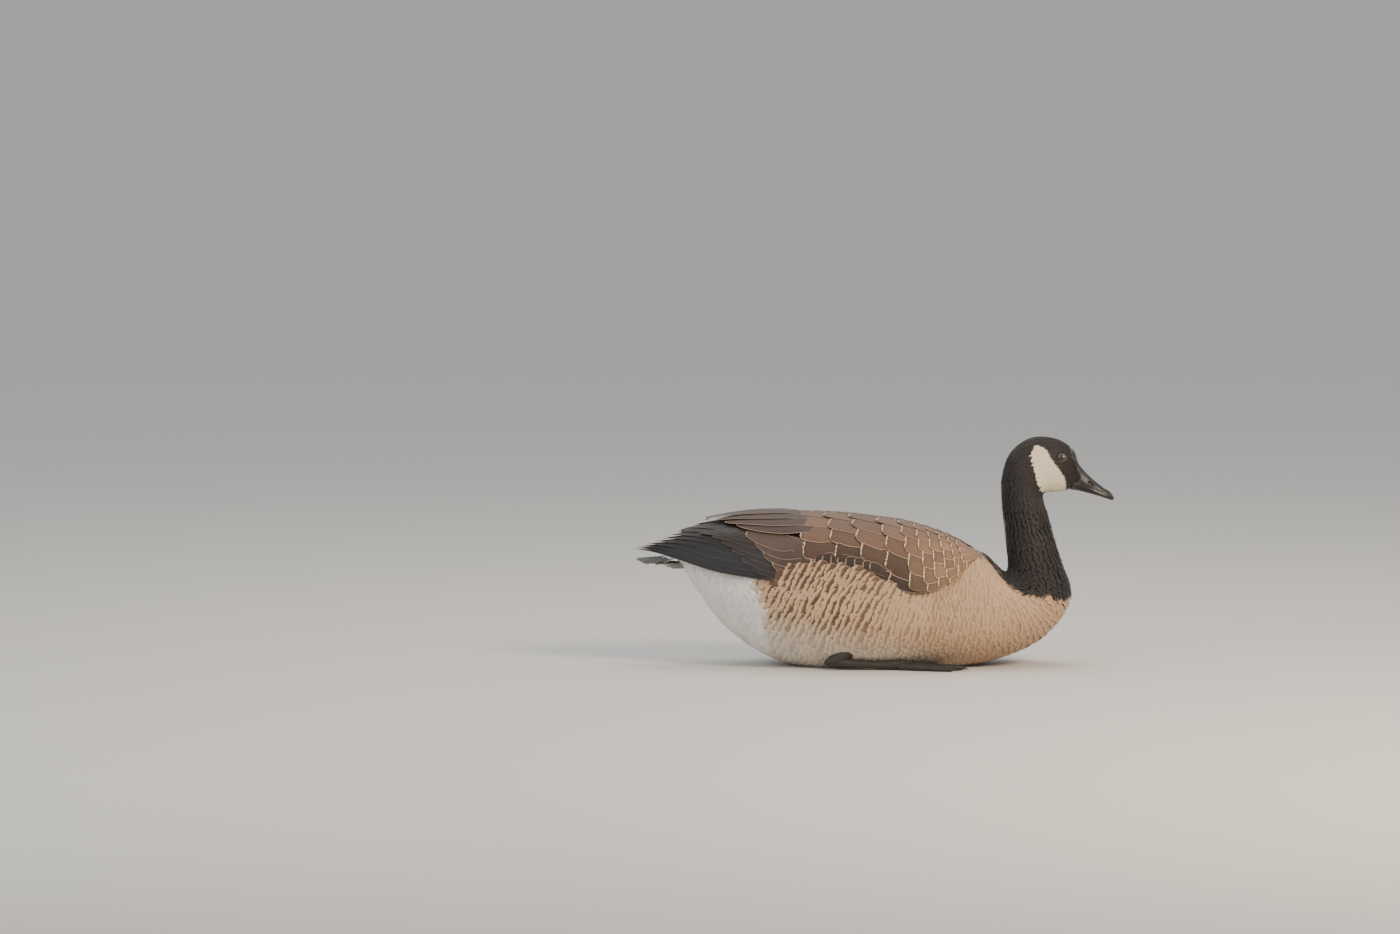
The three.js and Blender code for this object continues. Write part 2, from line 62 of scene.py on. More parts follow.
def node(tree, kind, inputs=None, **settings):
    """A new node. Its inputs get values, or links from a socket or from a node's first output."""
    new = tree.nodes.new(kind)
    for name, value in settings.items():
        setattr(new, name, value)
    for name, value in (inputs or {}).items():
        if isinstance(value, bpy.types.Node):
            value = value.outputs[0]
        if isinstance(value, bpy.types.NodeSocket):
            tree.links.new(value, new.inputs[name])
        else:
            new.inputs[name].default_value = value
    return new


def paint(name, roughness, **sockets):
    """A new material with uniform values set on its shader. Returns it with its tree and shader."""
    material = bpy.data.materials.new(name)
    material.use_nodes = True
    tree = material.node_tree
    shader = tree.nodes["Principled BSDF"]
    shader.inputs["Roughness"].default_value = roughness
    for title, value in sockets.items():
        shader.inputs[title.replace("_", " ")].default_value = value
    return material, tree, shader


def shaded(tree, colour, pattern, gain, base):
    """A colour made lighter and darker by a pattern."""
    shade = node(tree, "ShaderNodeMath", {0: pattern, 1: gain, 2: base}, operation="MULTIPLY_ADD")
    return node(tree, "ShaderNodeVectorMath", {0: colour, "Scale": shade}, operation="SCALE")


def finish_paint(tree, shader, colour, relief, relief_mm):
    """The colour that the nodes work out goes to the shader, and so does their relief, relief_mm high."""
    tree.links.new(colour.outputs[0], shader.inputs["Base Color"])
    bump = node(tree, "ShaderNodeBump", {"Height": relief, "Distance": relief_mm * MM})
    tree.links.new(bump.outputs[0], shader.inputs["Normal"])


# %% Helpers for meshes
def in_scene(name, data):
    """A new object, linked to the scene."""
    thing = bpy.data.objects.new(name, data)
    bpy.context.scene.collection.objects.link(thing)
    return thing


def mesh_piece(name, points, faces, material, slot, maps=None, values=None, corners=None, crisp=None):
    """An object from points in mm and faces of one size. maps are UV maps by point, corners UV maps by face
    corner, values attributes by point, with one column or three. Edges between crisp points are sharp."""
    mesh = bpy.data.meshes.new(name)
    faces = np.asarray(faces, np.int32)
    mesh.vertices.add(len(points))
    mesh.vertices.foreach_set("co", (np.asarray(points) * MM).astype(np.float32).ravel())
    mesh.loops.add(faces.size)
    mesh.loops.foreach_set("vertex_index", faces.ravel())
    mesh.polygons.add(len(faces))
    mesh.polygons.foreach_set("loop_start", np.arange(0, faces.size, faces.shape[1], dtype=np.int32))
    mesh.polygons.foreach_set("use_smooth", np.ones(len(faces), bool))
    mesh.update(calc_edges=True)
    by_corner = {title: np.asarray(uv)[faces.ravel()] for title, uv in (maps or {}).items()}
    for title, uv in {**by_corner, **(corners or {})}.items():
        layer = mesh.uv_layers.new(name=title)
        layer.uv.foreach_set("vector", np.asarray(uv, np.float32).ravel())
    for title, value in (values or {}).items():
        value = np.asarray(value, np.float32)
        if value.ndim == 1:
            mesh.attributes.new(title, "FLOAT", "POINT").data.foreach_set("value", value)
        else:
            rgba = np.column_stack([value, np.ones(len(value), np.float32)])
            mesh.attributes.new(title, "FLOAT_COLOR", "POINT").data.foreach_set("color", rgba.ravel())
    if crisp is not None:
        ends = np.empty(2 * len(mesh.edges), np.int32)
        mesh.edges.foreach_get("vertices", ends)
        sharp = crisp[ends].reshape(-1, 2).all(1)
        mesh.attributes.new("sharp_edge", "BOOLEAN", "EDGE").data.foreach_set("value", sharp)
    mesh.materials.append(material)
    piece = in_scene(name, mesh)
    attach(piece, "root")
    return piece


def grid_faces(rows, columns):
    """Quads of a grid of rows and columns, closed on itself across the columns."""
    r, c = np.meshgrid(np.arange(rows - 1), np.arange(columns), indexing="ij")
    right = (c + 1) % columns
    corners = (r * columns + c, (r + 1) * columns + c, (r + 1) * columns + right, r * columns + right)
    return np.stack(corners, -1).reshape(-1, 4)


def halved(quads):
    """Two triangles for each quad."""
    return np.vstack([quads[:, [0, 1, 2]], quads[:, [0, 2, 3]]])


def outward(points, triangles):
    """Triangles turned so that the closed shape's volume is positive."""
    a, b, c = (points[triangles[:, i]] for i in range(3))
    return triangles if np.einsum("ij,ij->i", a, np.cross(b, c)).sum() > 0 else triangles[:, ::-1]


def closed_loft(rings):
    """Rings of points joined into one closed shape, each end closed by a fan round its middle."""
    rows, columns = rings.shape[:2]
    points = np.vstack([rings.reshape(-1, 3), rings[0].mean(0), rings[-1].mean(0)])
    k = np.arange(columns)
    following = (k + 1) % columns
    base = (rows - 1) * columns
    first = np.column_stack([k, following, np.full(columns, rows * columns)])
    last = np.column_stack([base + following, base + k, np.full(columns, rows * columns + 1)])
    return points, outward(points, np.vstack([halved(grid_faces(rows, columns)), first, last]))


def joined(pieces, side):
    """Several closed shapes as one list of points and triangles, mirrored for the right side."""
    points, triangles, start = [], [], 0
    for some_points, some_triangles in pieces:
        some_points = some_points * (1, side, 1)
        points.append(some_points)
        triangles.append(outward(some_points, some_triangles) + start)
        start += len(some_points)
    return np.vstack(points), np.vstack(triangles)


# %% [markdown]
# ## Camera, light and floor
# The bird was seen from its right side, a few degrees above the horizon, through a long lens. At that
# distance one photo pixel is 1.15 mm of bird, which gives the width of the view. The light is one large warm
# area from the bill side, a cooler one from the tail side and a soft one overhead, on a plain pale floor.
# Area lights are used because a lamp as small as a point would draw a hard shadow behind each of thousands
# of feathers.
# %% The view
FRAME_WIDTH, FRAME_HEIGHT = 1400, 934
MM_PER_PIXEL = 1.15
MIDLINE_PIXEL = 860  # column of the frame where x = 0 lies
LEVEL = 72  # a height over the floor, in mm
LEVEL_PIXEL = 602.5  # row of the frame where z = LEVEL lies
CAMERA_RISE = math.radians(4.3)
LENS, SENSOR = 200, 36
FAR_CLIP = 300  # metres


def look(name, data, place, target):
    """An object placed at a point and turned to face another, both in mm."""
    holder = in_scene(name, data)
    line = np.array(target, float) - place
    side = np.cross(line, (0, 0, 1))
    up = np.cross(side, line)
    turn = np.array([v / np.linalg.norm(v) for v in (side, up, -line)]).T
    matrix = np.eye(4)
    matrix[:3, :3] = turn
    matrix[:3, 3] = np.array(place) * MM
    holder.matrix_world = Matrix(matrix.tolist())
    return holder


def view_camera():
    """The camera at the photo's angle, framing and distance."""
    data = bpy.data.cameras.new("view")
    data.lens = LENS
    data.sensor_width = SENSOR
    data.clip_end = FAR_CLIP
    far = FRAME_WIDTH * MM_PER_PIXEL * LENS / SENSOR
    middle = np.array([(FRAME_WIDTH / 2 - MIDLINE_PIXEL) * MM_PER_PIXEL, 0,
                       LEVEL + (LEVEL_PIXEL - FRAME_HEIGHT / 2) * MM_PER_PIXEL])
    place = middle + far * np.array([0, -math.cos(CAMERA_RISE), math.sin(CAMERA_RISE)])
    bpy.context.scene.camera = look("view_camera", data, place, middle)
    print("camera", round(far / 1000, 2), "m away")


view_camera()

# %% Studio light
LIT_PLACE = (20, 0, 110)  # the middle of the bird, in mm
SKY_STRENGTH = 0.85


def soft_light(name, place, size, power, chart_colour):
    """A square area light, its side in mm and its power in watts, aimed at the bird."""
    data = bpy.data.lights.new(name, "AREA")
    data.size = size * MM
    data.energy = power
    data.color = linear(chart_colour)
    look(name, data, np.array(place, float), LIT_PLACE)


soft_light("bill_side_light", (1500, -1700, 1500), 800, 66, "#ffe6c8")
soft_light("tail_side_light", (-1700, -1500, 1100), 1400, 14, "#dfe8f5")
soft_light("top_light", (0, 500, 2200), 1600, 22, "#fff8ee")
world = bpy.data.worlds.new("studio")
world.use_nodes = True
world.node_tree.nodes["Background"].inputs["Color"].default_value = (*linear("#dfe3e8"), 1)
world.node_tree.nodes["Background"].inputs["Strength"].default_value = SKY_STRENGTH
bpy.context.scene.world = world
print("lights:", len(bpy.data.lights))

# %% The floor
FLOOR_HALF = 60  # metres, so wide that its edge stays out of every view
floor_mesh = bpy.data.meshes.new("floor")
floor_corners = [(x * FLOOR_HALF, y * FLOOR_HALF, 0) for x, y in ((-1, -1), (1, -1), (1, 1), (-1, 1))]
floor_mesh.from_pydata(floor_corners, [], [(0, 1, 2, 3)])
floor_mesh.materials.append(paint("matt floor paint", 0.85, Base_Color=(*linear("#cfccc6"), 1))[0])
floor = in_scene("floor", floor_mesh)
print("floor:", 2 * FLOOR_HALF, "m wide")

# %% [markdown]
# ## The lines of the body
# A bird's body under its feathers is one smooth form. It could be sculpted, but then nothing could say where
# a feather stands on it. So it is drawn as a loft: slices at named stations from the tail root to the bill
# tip, each with its two ends in the midplane, half its width, how far down it is widest, and how square it
# is. These are the same named sizes as in the solids. Any point of the body is then body(t, a): t from tail
# to bill, a the angle round the slice from the back over the bird's left side.
# %% Stations of the body, in mm
STATIONS = {
    # name: (dorsal x, dorsal z, ventral x, ventral z, half width, widest at, fullness)
    "tail root": (-207, 139, -205, 113, 21, 0.55, 0.95),
    "vent": (-166, 153, -160, 49, 46, 0.5, 0.95),
    "loin": (-112, 162, -106, 10, 74, 0.52, 0.92),
    "mid body": (-50, 166, -48, -5, 89, 0.53, 0.9),
    "back": (15, 161, 22, -7, 92, 0.53, 0.9),
    "shoulder": (68, 150, 88, -5, 87, 0.55, 0.9),
    "mantle": (112, 135, 150, 4, 76, 0.57, 0.92),
    "crop": (145, 120, 206, 27, 64, 0.56, 0.95),
    "breast": (165, 107, 239, 63, 51, 0.52, 0.98),
    "neck root": (170.5, 112, 242, 91, 40, 0.5, 1),
    "low neck": (169.5, 130, 233, 117, 32, 0.5, 1),
    "mid neck": (166.5, 157, 221, 156, 27, 0.5, 1),
    "top neck": (163, 190, 213, 186, 24.5, 0.5, 1),
    "nape": (163, 217, 211, 196, 23.5, 0.52, 1),
    "occiput": (173, 245, 212.5, 197.5, 23, 0.55, 1),
    "crown": (197, 262, 217, 198.7, 22.5, 0.56, 0.98),
    "brow": (226, 260.5, 229, 199.6, 21.5, 0.55, 0.95),
    "lore": (245, 248, 241, 201.5, 17.5, 0.56, 0.95),
    "bill root": (252, 231.5, 250, 200.8, 13.2, 0.55, 0.92),
    "nostril": (263, 218.5, 262, 197.8, 11.6, 0.6, 0.9),
    "bill front": (277, 206.5, 275, 194.2, 10.2, 0.6, 0.88),
    "nail": (287.5, 199, 286, 190.6, 7.6, 0.58, 0.9),
    "bill tip": (291.4, 193.6, 290.4, 189.6, 3, 0.5, 1),
}
STATION_ROWS = np.array(list(STATIONS.values()), float)
STATION_NAMES = list(STATIONS)
print("stations:", len(STATIONS))


# %% Curves through given places
def at(name):
    """The t of a station."""
    return STATION_NAMES.index(name) / (len(STATION_NAMES) - 1)


def through(rows, t):
    """Catmull-Rom curve through rows of numbers, at t from 0 to 1."""
    last = len(rows) - 1
    place = np.clip(t, 0, 1) * last
    i = np.clip(np.floor(place).astype(int), 0, last - 1)
    w = (place - i)[..., None]
    padded = np.vstack([2 * rows[0] - rows[1], rows, 2 * rows[-1] - rows[-2]])
    a, b, c, d = (padded[i + k] for k in range(4))
    return b + 0.5 * w * (c - a + w * (2 * a - 5 * b + 4 * c - d + w * (3 * (b - c) + d - a)))


def curve_of(*pairs):
    """Smooth curve through (x, value) pairs, as a function of x."""
    xs, vs = np.array(pairs, float).T
    climbs = np.gradient(vs, xs)
    climbs[1:-1] = (vs[2:] - vs[:-2]) / (xs[2:] - xs[:-2])

    def value(x):
        i = np.clip(np.searchsorted(xs, x, "right") - 1, 0, len(xs) - 2)
        span = xs[i + 1] - xs[i]
        w = np.clip((x - xs[i]) / span, 0, 1)
        rise = w * w * (3 - 2 * w)
        bulge = w * (1 - w) ** 2 * climbs[i] - w * w * (1 - w) * climbs[i + 1]
        return vs[i] + (vs[i + 1] - vs[i]) * rise + bulge * span

    return value


def line_of(*pairs):
    """Straight lines through (place, value) pairs, as a function of the place."""
    places, values = np.array(pairs, float).T
    return lambda place: np.interp(place, places, values)


def signed_power(value, power):
    """The power of the value's size, with the value's own sign."""
    return np.sign(value) * np.abs(value) ** power


def smooth(value, low, high):
    """0 below low, 1 above high, and an even S between."""
    w = np.clip((value - low) / (high - low), 0, 1)
    return w * w * (3 - 2 * w)


def mix(a, b, share):
    """From a at share 0 to b at share 1."""
    return a + (b - a) * share


# %% [markdown]
# The folded wing lies in a shallow pocket of the body above the flank line. Its outline is given by the
# height of its top and its half width, both as smooth curves along x, because a few given places then decide
# the whole form. Feathers of the flank run on over the wing's lower edge, so for them the body is drawn
# without the pocket and lifted onto that edge.
# %% Outline of the folded wing
FLANK_LINE = curve_of((-264, 133), (-240, 129), (-210, 119.5), (-169, 107), (-132, 101), (-95, 98),
                      (-61, 108), (-20, 111), (12, 105), (40, 92), (70, 87), (95, 96), (118, 112), (138, 124))
WING_TOP = curve_of((-264, 137.5), (-225, 151.5), (-180, 164), (-145, 171), (-106, 174.5), (-58, 175),
                    (-27, 174), (12, 170), (50, 164.5), (90, 152.5), (118, 140), (138, 130))
WING_HALF = curve_of((-264, 9), (-225, 29), (-180, 48), (-132, 66), (-95, 79), (-50, 90), (0, 95), (40, 94.5),
                     (75, 88), (95, 80), (110, 69), (122, 56), (138, 33))
WING_INNER = curve_of((-264, 1), (-100, 1), (0, 3), (60, 8), (110, 16), (138, 26))
WING_SQUARE = 0.88
WING_TUCK = 7  # how far the lower edge of the wing is drawn in under the flank feathers, in mm
WING_TUCKED = (0.62, 1.02)  # v where the tuck begins and where it is full


def over_edge(x):
    """1 where the flank feathers lie over the wing's lower edge, 0 where the wing lies over them."""
    return smooth(x, -108, -90) * (1 - smooth(x, 30, 66))


def wing_half_at(x, v):
    """Half width of the folded wing at v, from its inner edge at 0 to the flank line at 1."""
    inner = WING_INNER(x)
    full = (WING_HALF(x) - inner) * signed_power(np.cos((1 - v) * np.pi / 2), WING_SQUARE)
    return inner + full - WING_TUCK * over_edge(x) * smooth(v, *WING_TUCKED)


# %% The body and its pocket
POCKET, POCKET_LIP = 8, 9  # depth of the pocket and height of its lower slope, in mm
POCKET_BACK, POCKET_FRONT = (-250, -150), (100, 140)  # x where the pocket deepens and where it ends


def body(t, a, pocket=1.0):
    """Points of the body's surface in mm, with a share of the pocket."""
    rows = through(STATION_ROWS, t)
    half, wide, full = rows[..., 4], rows[..., 5], rows[..., 6]
    fall = -signed_power(np.cos(a), full)
    share = wide + fall * np.where(fall < 0, wide, 1 - wide)
    x = mix(rows[..., 0], rows[..., 2], share)
    z = mix(rows[..., 1], rows[..., 3], share)
    y = half * signed_power(np.sin(a), full)
    along = smooth(x, *POCKET_BACK) * (1 - smooth(x, *POCKET_FRONT))
    above = smooth(z, FLANK_LINE(x), FLANK_LINE(x) + POCKET_LIP)
    y = y - pocket * POCKET * along * above * y / half
    return np.stack([x, y, z], -1)


def slopes(surface, p, q, step=(2e-4, 2e-3)):
    """How a surface moves per unit of p and of q, and the way out of it. A mirrored surface has hand = -1."""
    by_p = (surface(p + step[0], q) - surface(p - step[0], q)) / (2 * step[0])
    by_q = (surface(p, q + step[1]) - surface(p, q - step[1])) / (2 * step[1])
    out = np.cross(by_p, by_q) * getattr(surface, "hand", 1)
    return by_p, by_q, out / np.maximum(np.linalg.norm(out, axis=-1, keepdims=True), 1e-12)


print("the body is", 2 * STATION_ROWS[:, 4].max(), "mm wide")

# %% The coat over the body
PAST_TAIL = 0.016  # how far past the root of the tail the coat runs, as a share of the body
TAIL_STEP = 0.002  # the share of the body over which its slope at the tail is taken
OVER_WING = 4.2  # how far the flank feathers lie outside the wing, in mm
LIFT_LOW, LIFT_HIGH = 26, 2  # they rise onto it between these depths under the flank line, in mm
BRIDGE = 6.5  # how far the feathers behind the neck are raised to meet the front of the wings, in mm
BRIDGE_BACK, BRIDGE_FRONT, BRIDGE_FOOT = (98, 126), (140, 168), (80, 112)  # x, x and z where it changes
BRIDGE_ASIDE, BRIDGE_SIDES = 0.4, (10, 40)  # its share to the side, growing between these half widths


def coat(t, a):
    """The body as the small feathers lie on it: over the flank line they lie on the edge of the wing, and
    past the root of the tail they run on a little and close round it."""
    past = PAST_TAIL * np.tanh(np.minimum(t, 0) / PAST_TAIL)
    taper = (body(np.full_like(t, TAIL_STEP), a, 0) - body(np.zeros_like(t), a, 0)) / TAIL_STEP
    place = body(np.maximum(t, 0), a, 0) + past[..., None] * taper
    x, y, z = np.moveaxis(place, -1, 0)
    line, top = FLANK_LINE(x), WING_TOP(x)
    height = np.clip((z - line) / (top - line), 0, 1) ** (1 / WING_SQUARE)
    on_wing = wing_half_at(x, 1 - np.arcsin(height) * 2 / np.pi) + OVER_WING
    share = over_edge(x) * smooth(z, line - LIFT_LOW, line - LIFT_HIGH)
    bridge = BRIDGE * smooth(x, *BRIDGE_BACK) * (1 - smooth(x, *BRIDGE_FRONT)) * smooth(z, *BRIDGE_FOOT)
    aside = share * np.maximum(on_wing - np.abs(y), 0)
    aside = aside + BRIDGE_ASIDE * bridge * smooth(np.abs(y), *BRIDGE_SIDES)
    place[..., 1] += aside * np.sign(y)
    place[..., 2] += bridge
    return place


print("the flank feathers lie", OVER_WING, "mm over the wing")

# %% [markdown]
# ## Where the colours lie
# The goose is dressed in a few plain fields: a black head and neck with a white strap round the chin, a buff
# breast, flanks barred by pale feather tips, a white belly and vent, and brown back feathers with pale
# edges. They could be painted on one image, but an image has one sharpness and ends at its seams. Here the
# fields are functions of place, so the skin and every feather over it get the same answer.
# %% Plumage chart
CHART = {name: linear(colour) for name, colour in {
    "neck black": "#17110f",
    "neck sheen": "#261d19",
    "cheek": "#e6d8bf",
    "breast": "#a58769",
    "breast tip": "#bb9c7c",
    "flank": "#57412f",
    "flank tip": "#bd9e7c",
    "belly": "#c6b9a6",
    "belly tip": "#d9cfbf",
    "vent": "#dddad3",
    # mantle: a real brown, darkened as painted shade of the back behind the neck
    "mantle": "#4d3c30",
    "mantle tip": "#9a8066",
}.items()}

# %% The chin strap and the edge of the neck
# lines of (z, x), and the height of the strap's top
STRAP_FRONT = line_of((201, 240.4), (217.3, 237.6), (226.1, 231.5), (236.1, 223.8), (244.8, 219.4),
                      (250.3, 215.1), (253.9, 209.5))
STRAP_BACK = line_of(
    (199, 210.7), (206.3, 208.4), (218.4, 204), (228.4, 201.8), (242.7, 198), (248.1, 199.6), (253.9, 204))
STRAP_TOP = 254.2
THROAT = line_of((206, 203), (213, 201.5), (219, 196))  # (x, z) under which the strap ends on the throat
NECK_EDGE = line_of((160, 116), (172.5, 100.5), (192, 90.5), (216, 91), (241.5, 85.5))  # (x, z)
NECK_BACK = (156.5, 158.5)  # x between which the black begins behind the neck
NAPE_SIDES, NAPE_FOOT, NAPE_FRONT = (20, 32), (98, 104), (175, 180)  # |y|, z and x where the nape's part ends


def chin_strap(x, z):
    """How far inside the white strap a place is, in mm, as seen from the side."""
    return np.minimum(np.minimum(STRAP_FRONT(z) - x, x - STRAP_BACK(z)), STRAP_TOP - z)


def on_neck(places, ragged=0.0):
    """1 where the black feathers of neck and head grow, 0 on the body. ragged, in mm, wears the edge."""
    x, y, z = np.moveaxis(places, -1, 0)
    above = smooth(z + 0.9 * ragged - NECK_EDGE(x), -1, 1)
    nape = (1 - smooth(np.abs(y), *NAPE_SIDES)) * smooth(z, *NAPE_FOOT) * (1 - smooth(x, *NAPE_FRONT))
    return np.maximum(above, nape) * smooth(x + 0.6 * ragged, *NECK_BACK)


print("the strap at the cheek is", round(float(STRAP_FRONT(226) - STRAP_BACK(226))), "mm wide")


# %% Colour of any place
def plumage(places, ragged):
    """The colour of the feathers rooted at places in mm, and of their tips. Each field grows from where it
    begins to where it is full. ragged, in mm, wears its border."""
    x, y, z = np.moveaxis(places, -1, 0)
    side = np.abs(y)

    def blend(field, other, share):
        return mix(field, CHART[other], share[..., None])

    base = np.broadcast_to(CHART["breast"], places.shape)
    tip = np.broadcast_to(CHART["breast tip"], places.shape)
    flank = (1 - 0.85 * smooth(x, -10, 120)) * smooth(z, 14, 50) * (1 - smooth(x, 90, 175))
    base, tip = blend(base, "flank", flank), blend(tip, "flank tip", flank)
    belly = (1 - smooth(z + 0.12 * x, 8, 46)) * (1 - smooth(x, 60, 170))
    base, tip = blend(base, "belly", belly), blend(tip, "belly tip", belly)
    vent = 1 - smooth(x + 0.25 * (z - 60) + ragged, -98, -90)
    base, tip = blend(base, "vent", vent), blend(tip, "vent", vent)
    # partly painted shade: the back behind the neck takes the mantle's brown, drawn darker than real
    mantle = smooth(z, 112, 122) * (1 - smooth(x, 150, 168)) * (1 - smooth(side, 24, 44))
    base, tip = blend(base, "mantle", mantle), blend(tip, "mantle tip", mantle)
    neck = on_neck(places, ragged)
    base, tip = blend(base, "neck black", neck), blend(tip, "neck sheen", neck)
    cheek = smooth(chin_strap(x, z) + 0.5 * ragged, -0.3, 0.6)
    cheek = cheek * smooth(z + 0.4 * ragged, THROAT(x) - 0.7, THROAT(x) + 0.7)
    return blend(base, "cheek", cheek), blend(tip, "cheek", cheek)


print("paints of small feathers:", len(CHART))


# %% [markdown]
# ## Feather, as a material
# A feather is keratin: a quill with a web of barbs, each barb a fine thread hooked to the next. Up close
# this gives fine slanted lines, a soft sheen and no mirror gloss. The material reads two maps that each vane
# carries: "vane" holds the distance from the quill and from the root, "rim" the distances to the side edge
# and to the tip, all in centimetres. So a barb is as fine, and a pale edge as wide, as a stated size in mm.
# Barbs are drawn about twice as coarse as real ones, which are too fine for the picture.
# %% Feather material
MM_PER_CM = 10
BARB_SLANT = 0.85  # how far a barb climbs towards the tip for its reach to the side
QUILL_HALF = (0.02, 0.06)  # cm from the middle of the feather between which the quill fades into the web


def feather_paint(name, barb_mm, contrast, edge_mm, tip_mm, quill, relief_mm, roughness, edge_share=1.0,
                  dark_band=0.0):
    """Keratin web. barb_mm is the spacing of its lines, contrast how far they differ, edge_mm and tip_mm are
    the widths of the pale edge, quill is how dark the shaft is, relief_mm the height of the barbs, edge_share
    how strong the edge is and dark_band how dark the web gets next to it."""
    material, tree, shader = paint(name, roughness, Sheen_Weight=0.12, Sheen_Roughness=0.45)
    tint = node(tree, "ShaderNodeAttribute", attribute_name="tint")
    pale = node(tree, "ShaderNodeAttribute", attribute_name="pale")
    chance = node(tree, "ShaderNodeAttribute", attribute_name="chance").outputs["Fac"]
    vane = node(tree, "ShaderNodeSeparateXYZ", {0: node(tree, "ShaderNodeUVMap", uv_map="vane")})
    rim = node(tree, "ShaderNodeSeparateXYZ", {0: node(tree, "ShaderNodeUVMap", uv_map="rim")})
    beside = node(tree, "ShaderNodeMath", {0: vane.outputs["X"]}, operation="ABSOLUTE")

    # barbs: a noise stretched along slanted lines, different on every feather
    slanted = node(
        tree, "ShaderNodeMath", {0: beside, 1: -BARB_SLANT, 2: vane.outputs["Y"]}, operation="MULTIPLY_ADD")
    where = node(tree, "ShaderNodeCombineXYZ", {
        "X": node(tree, "ShaderNodeMath", {0: slanted, 1: MM_PER_CM / barb_mm}, operation="MULTIPLY"),
        "Y": node(tree, "ShaderNodeMath", {0: vane.outputs["X"], 1: 1.1}, operation="MULTIPLY"),
        "Z": node(tree, "ShaderNodeMath", {0: chance, 1: 37}, operation="MULTIPLY"),
    })
    threads = node(tree, "ShaderNodeTexNoise", {"Vector": where, "Scale": 1, "Detail": 2, "Roughness": 0.6})
    barbs = node(tree, "ShaderNodeMapRange", {"Value": threads, "From Min": 0.3, "From Max": 0.7})
    cloud = node(tree, "ShaderNodeTexNoise", {"Vector": where, "Scale": 0.09, "Detail": 1})

    # the pale edge, frayed along the barbs, and the darker band inside it
    by_side = node(tree, "ShaderNodeMath", {0: rim.outputs["X"], 1: edge_mm / MM_PER_CM}, operation="DIVIDE")
    by_tip = node(tree, "ShaderNodeMath", {0: rim.outputs["Y"], 1: tip_mm / MM_PER_CM}, operation="DIVIDE")
    to_edge = node(tree, "ShaderNodeMath", {0: by_side, 1: by_tip}, operation="MINIMUM")
    level = node(tree, "ShaderNodeMath", {0: to_edge, 1: 0.35}, operation="SUBTRACT")
    worn = node(tree, "ShaderNodeMath", {0: barbs, 1: 0.7, 2: level}, operation="MULTIPLY_ADD")
    edge = node(tree, "ShaderNodeMapRange", {"Value": worn, "From Min": 0.55, "From Max": 1.15,
                                             "To Min": edge_share, "To Max": 0},
                interpolation_type="SMOOTHSTEP")
    band = node(tree, "ShaderNodeMapRange", {"Value": to_edge, "From Min": 1, "From Max": 4.5,
                                             "To Min": 1 - dark_band, "To Max": 1},
                interpolation_type="SMOOTHSTEP")

    # tones of the web, of the edge and of the quill, and their mix
    uneven = node(tree, "ShaderNodeMath", {0: barbs, 1: cloud}, operation="ADD")
    tone = node(tree, "ShaderNodeMath", {0: uneven, 1: contrast, 2: 1 - contrast}, operation="MULTIPLY_ADD")
    streaks = node(tree, "ShaderNodeMath", {0: barbs, 1: 0.5 * contrast, 2: 1 - 0.25 * contrast},
                   operation="MULTIPLY_ADD")
    spread = node(tree, "ShaderNodeMath", {0: chance, 1: 0.24, 2: 0.88}, operation="MULTIPLY_ADD")
    varied = node(tree, "ShaderNodeMath", {0: tone, 1: spread}, operation="MULTIPLY")
    shade = node(tree, "ShaderNodeMath", {0: varied, 1: band}, operation="MULTIPLY")
    web = node(tree, "ShaderNodeVectorMath", {0: tint, "Scale": shade}, operation="SCALE")
    rim_web = node(tree, "ShaderNodeVectorMath", {0: pale, "Scale": streaks}, operation="SCALE")
    edged = node(tree, "ShaderNodeMixRGB", {"Fac": edge, "Color1": web, "Color2": rim_web})
    near_quill = node(tree, "ShaderNodeMapRange", {"Value": beside, "From Min": QUILL_HALF[0],
                                                   "From Max": QUILL_HALF[1], "To Min": quill, "To Max": 0})
    shaft = node(tree, "ShaderNodeVectorMath", {0: tint, "Scale": 0.45}, operation="SCALE")
    colour = node(tree, "ShaderNodeMixRGB", {"Fac": near_quill, "Color1": edged, "Color2": shaft})
    finish_paint(tree, shader, colour, barbs, relief_mm)
    return material


# %% The five kinds of feather
small_feather = feather_paint("soft contour feather", 0.5, 0.34, 1.2, 2.4, 0.0, 0.12, roughness=0.78)
flank_feather = feather_paint("barred flank feather", 0.5, 0.3, 0.5, 3.6, 0.0, 0.07, roughness=0.75)
neck_feather = feather_paint(
    "short black feather", 0.35, 0.36, 0.4, 1.8, 0.0, 0.15, roughness=0.6, edge_share=0.7)
wing_feather = feather_paint(
    "broad brown wing feather", 0.6, 0.3, 0.5, 1.35, 0.5, 0.2, roughness=0.62, dark_band=0.24)
flight_feather = feather_paint(
    "stiff black flight feather", 0.7, 0.24, 0.5, 0.7, 0.8, 0.16, roughness=0.42, edge_share=0.8)
print("feather materials:", small_feather.name, "and four more")

# %% [markdown]
# ## The skin
# Under the feathers lies one skin from tail root to bill, a little inside the solids, so no seam of the
# solids shows. It is the loft drawn finely, and it carries the same plumage chart, so a gap between two
# feathers shows the colour of its neighbours, in painted shade. Joining the solids with a Boolean would
# leave a crease at every joint. Round each eye the skin sinks into a socket. The belly stops at the floor.
# %% Places on the head and depth of the coat
EYE_PLACE = np.array([231.5, 13.4, 239.5])
EYE_RADIUS = 6.2
BODY_DEPTH, NECK_DEPTH, HEAD_DEPTH = 3.4, 2.2, 1.3  # how deep the skin lies under the tips of the coat, in mm
FACE_EDGE = line_of((196, 241.5), (204, 243), (209.5, 245), (211.5, 250.5), (215.5, 254), (224, 251.5),
                    (231.5, 249.5), (240, 244))  # (z, x) where the feathers of the face end at the bill


def ahead_of_feathers(places):
    """How far places lie in front of the edge of the face's feathers, in mm."""
    return places[..., 0] - FACE_EDGE(places[..., 2])


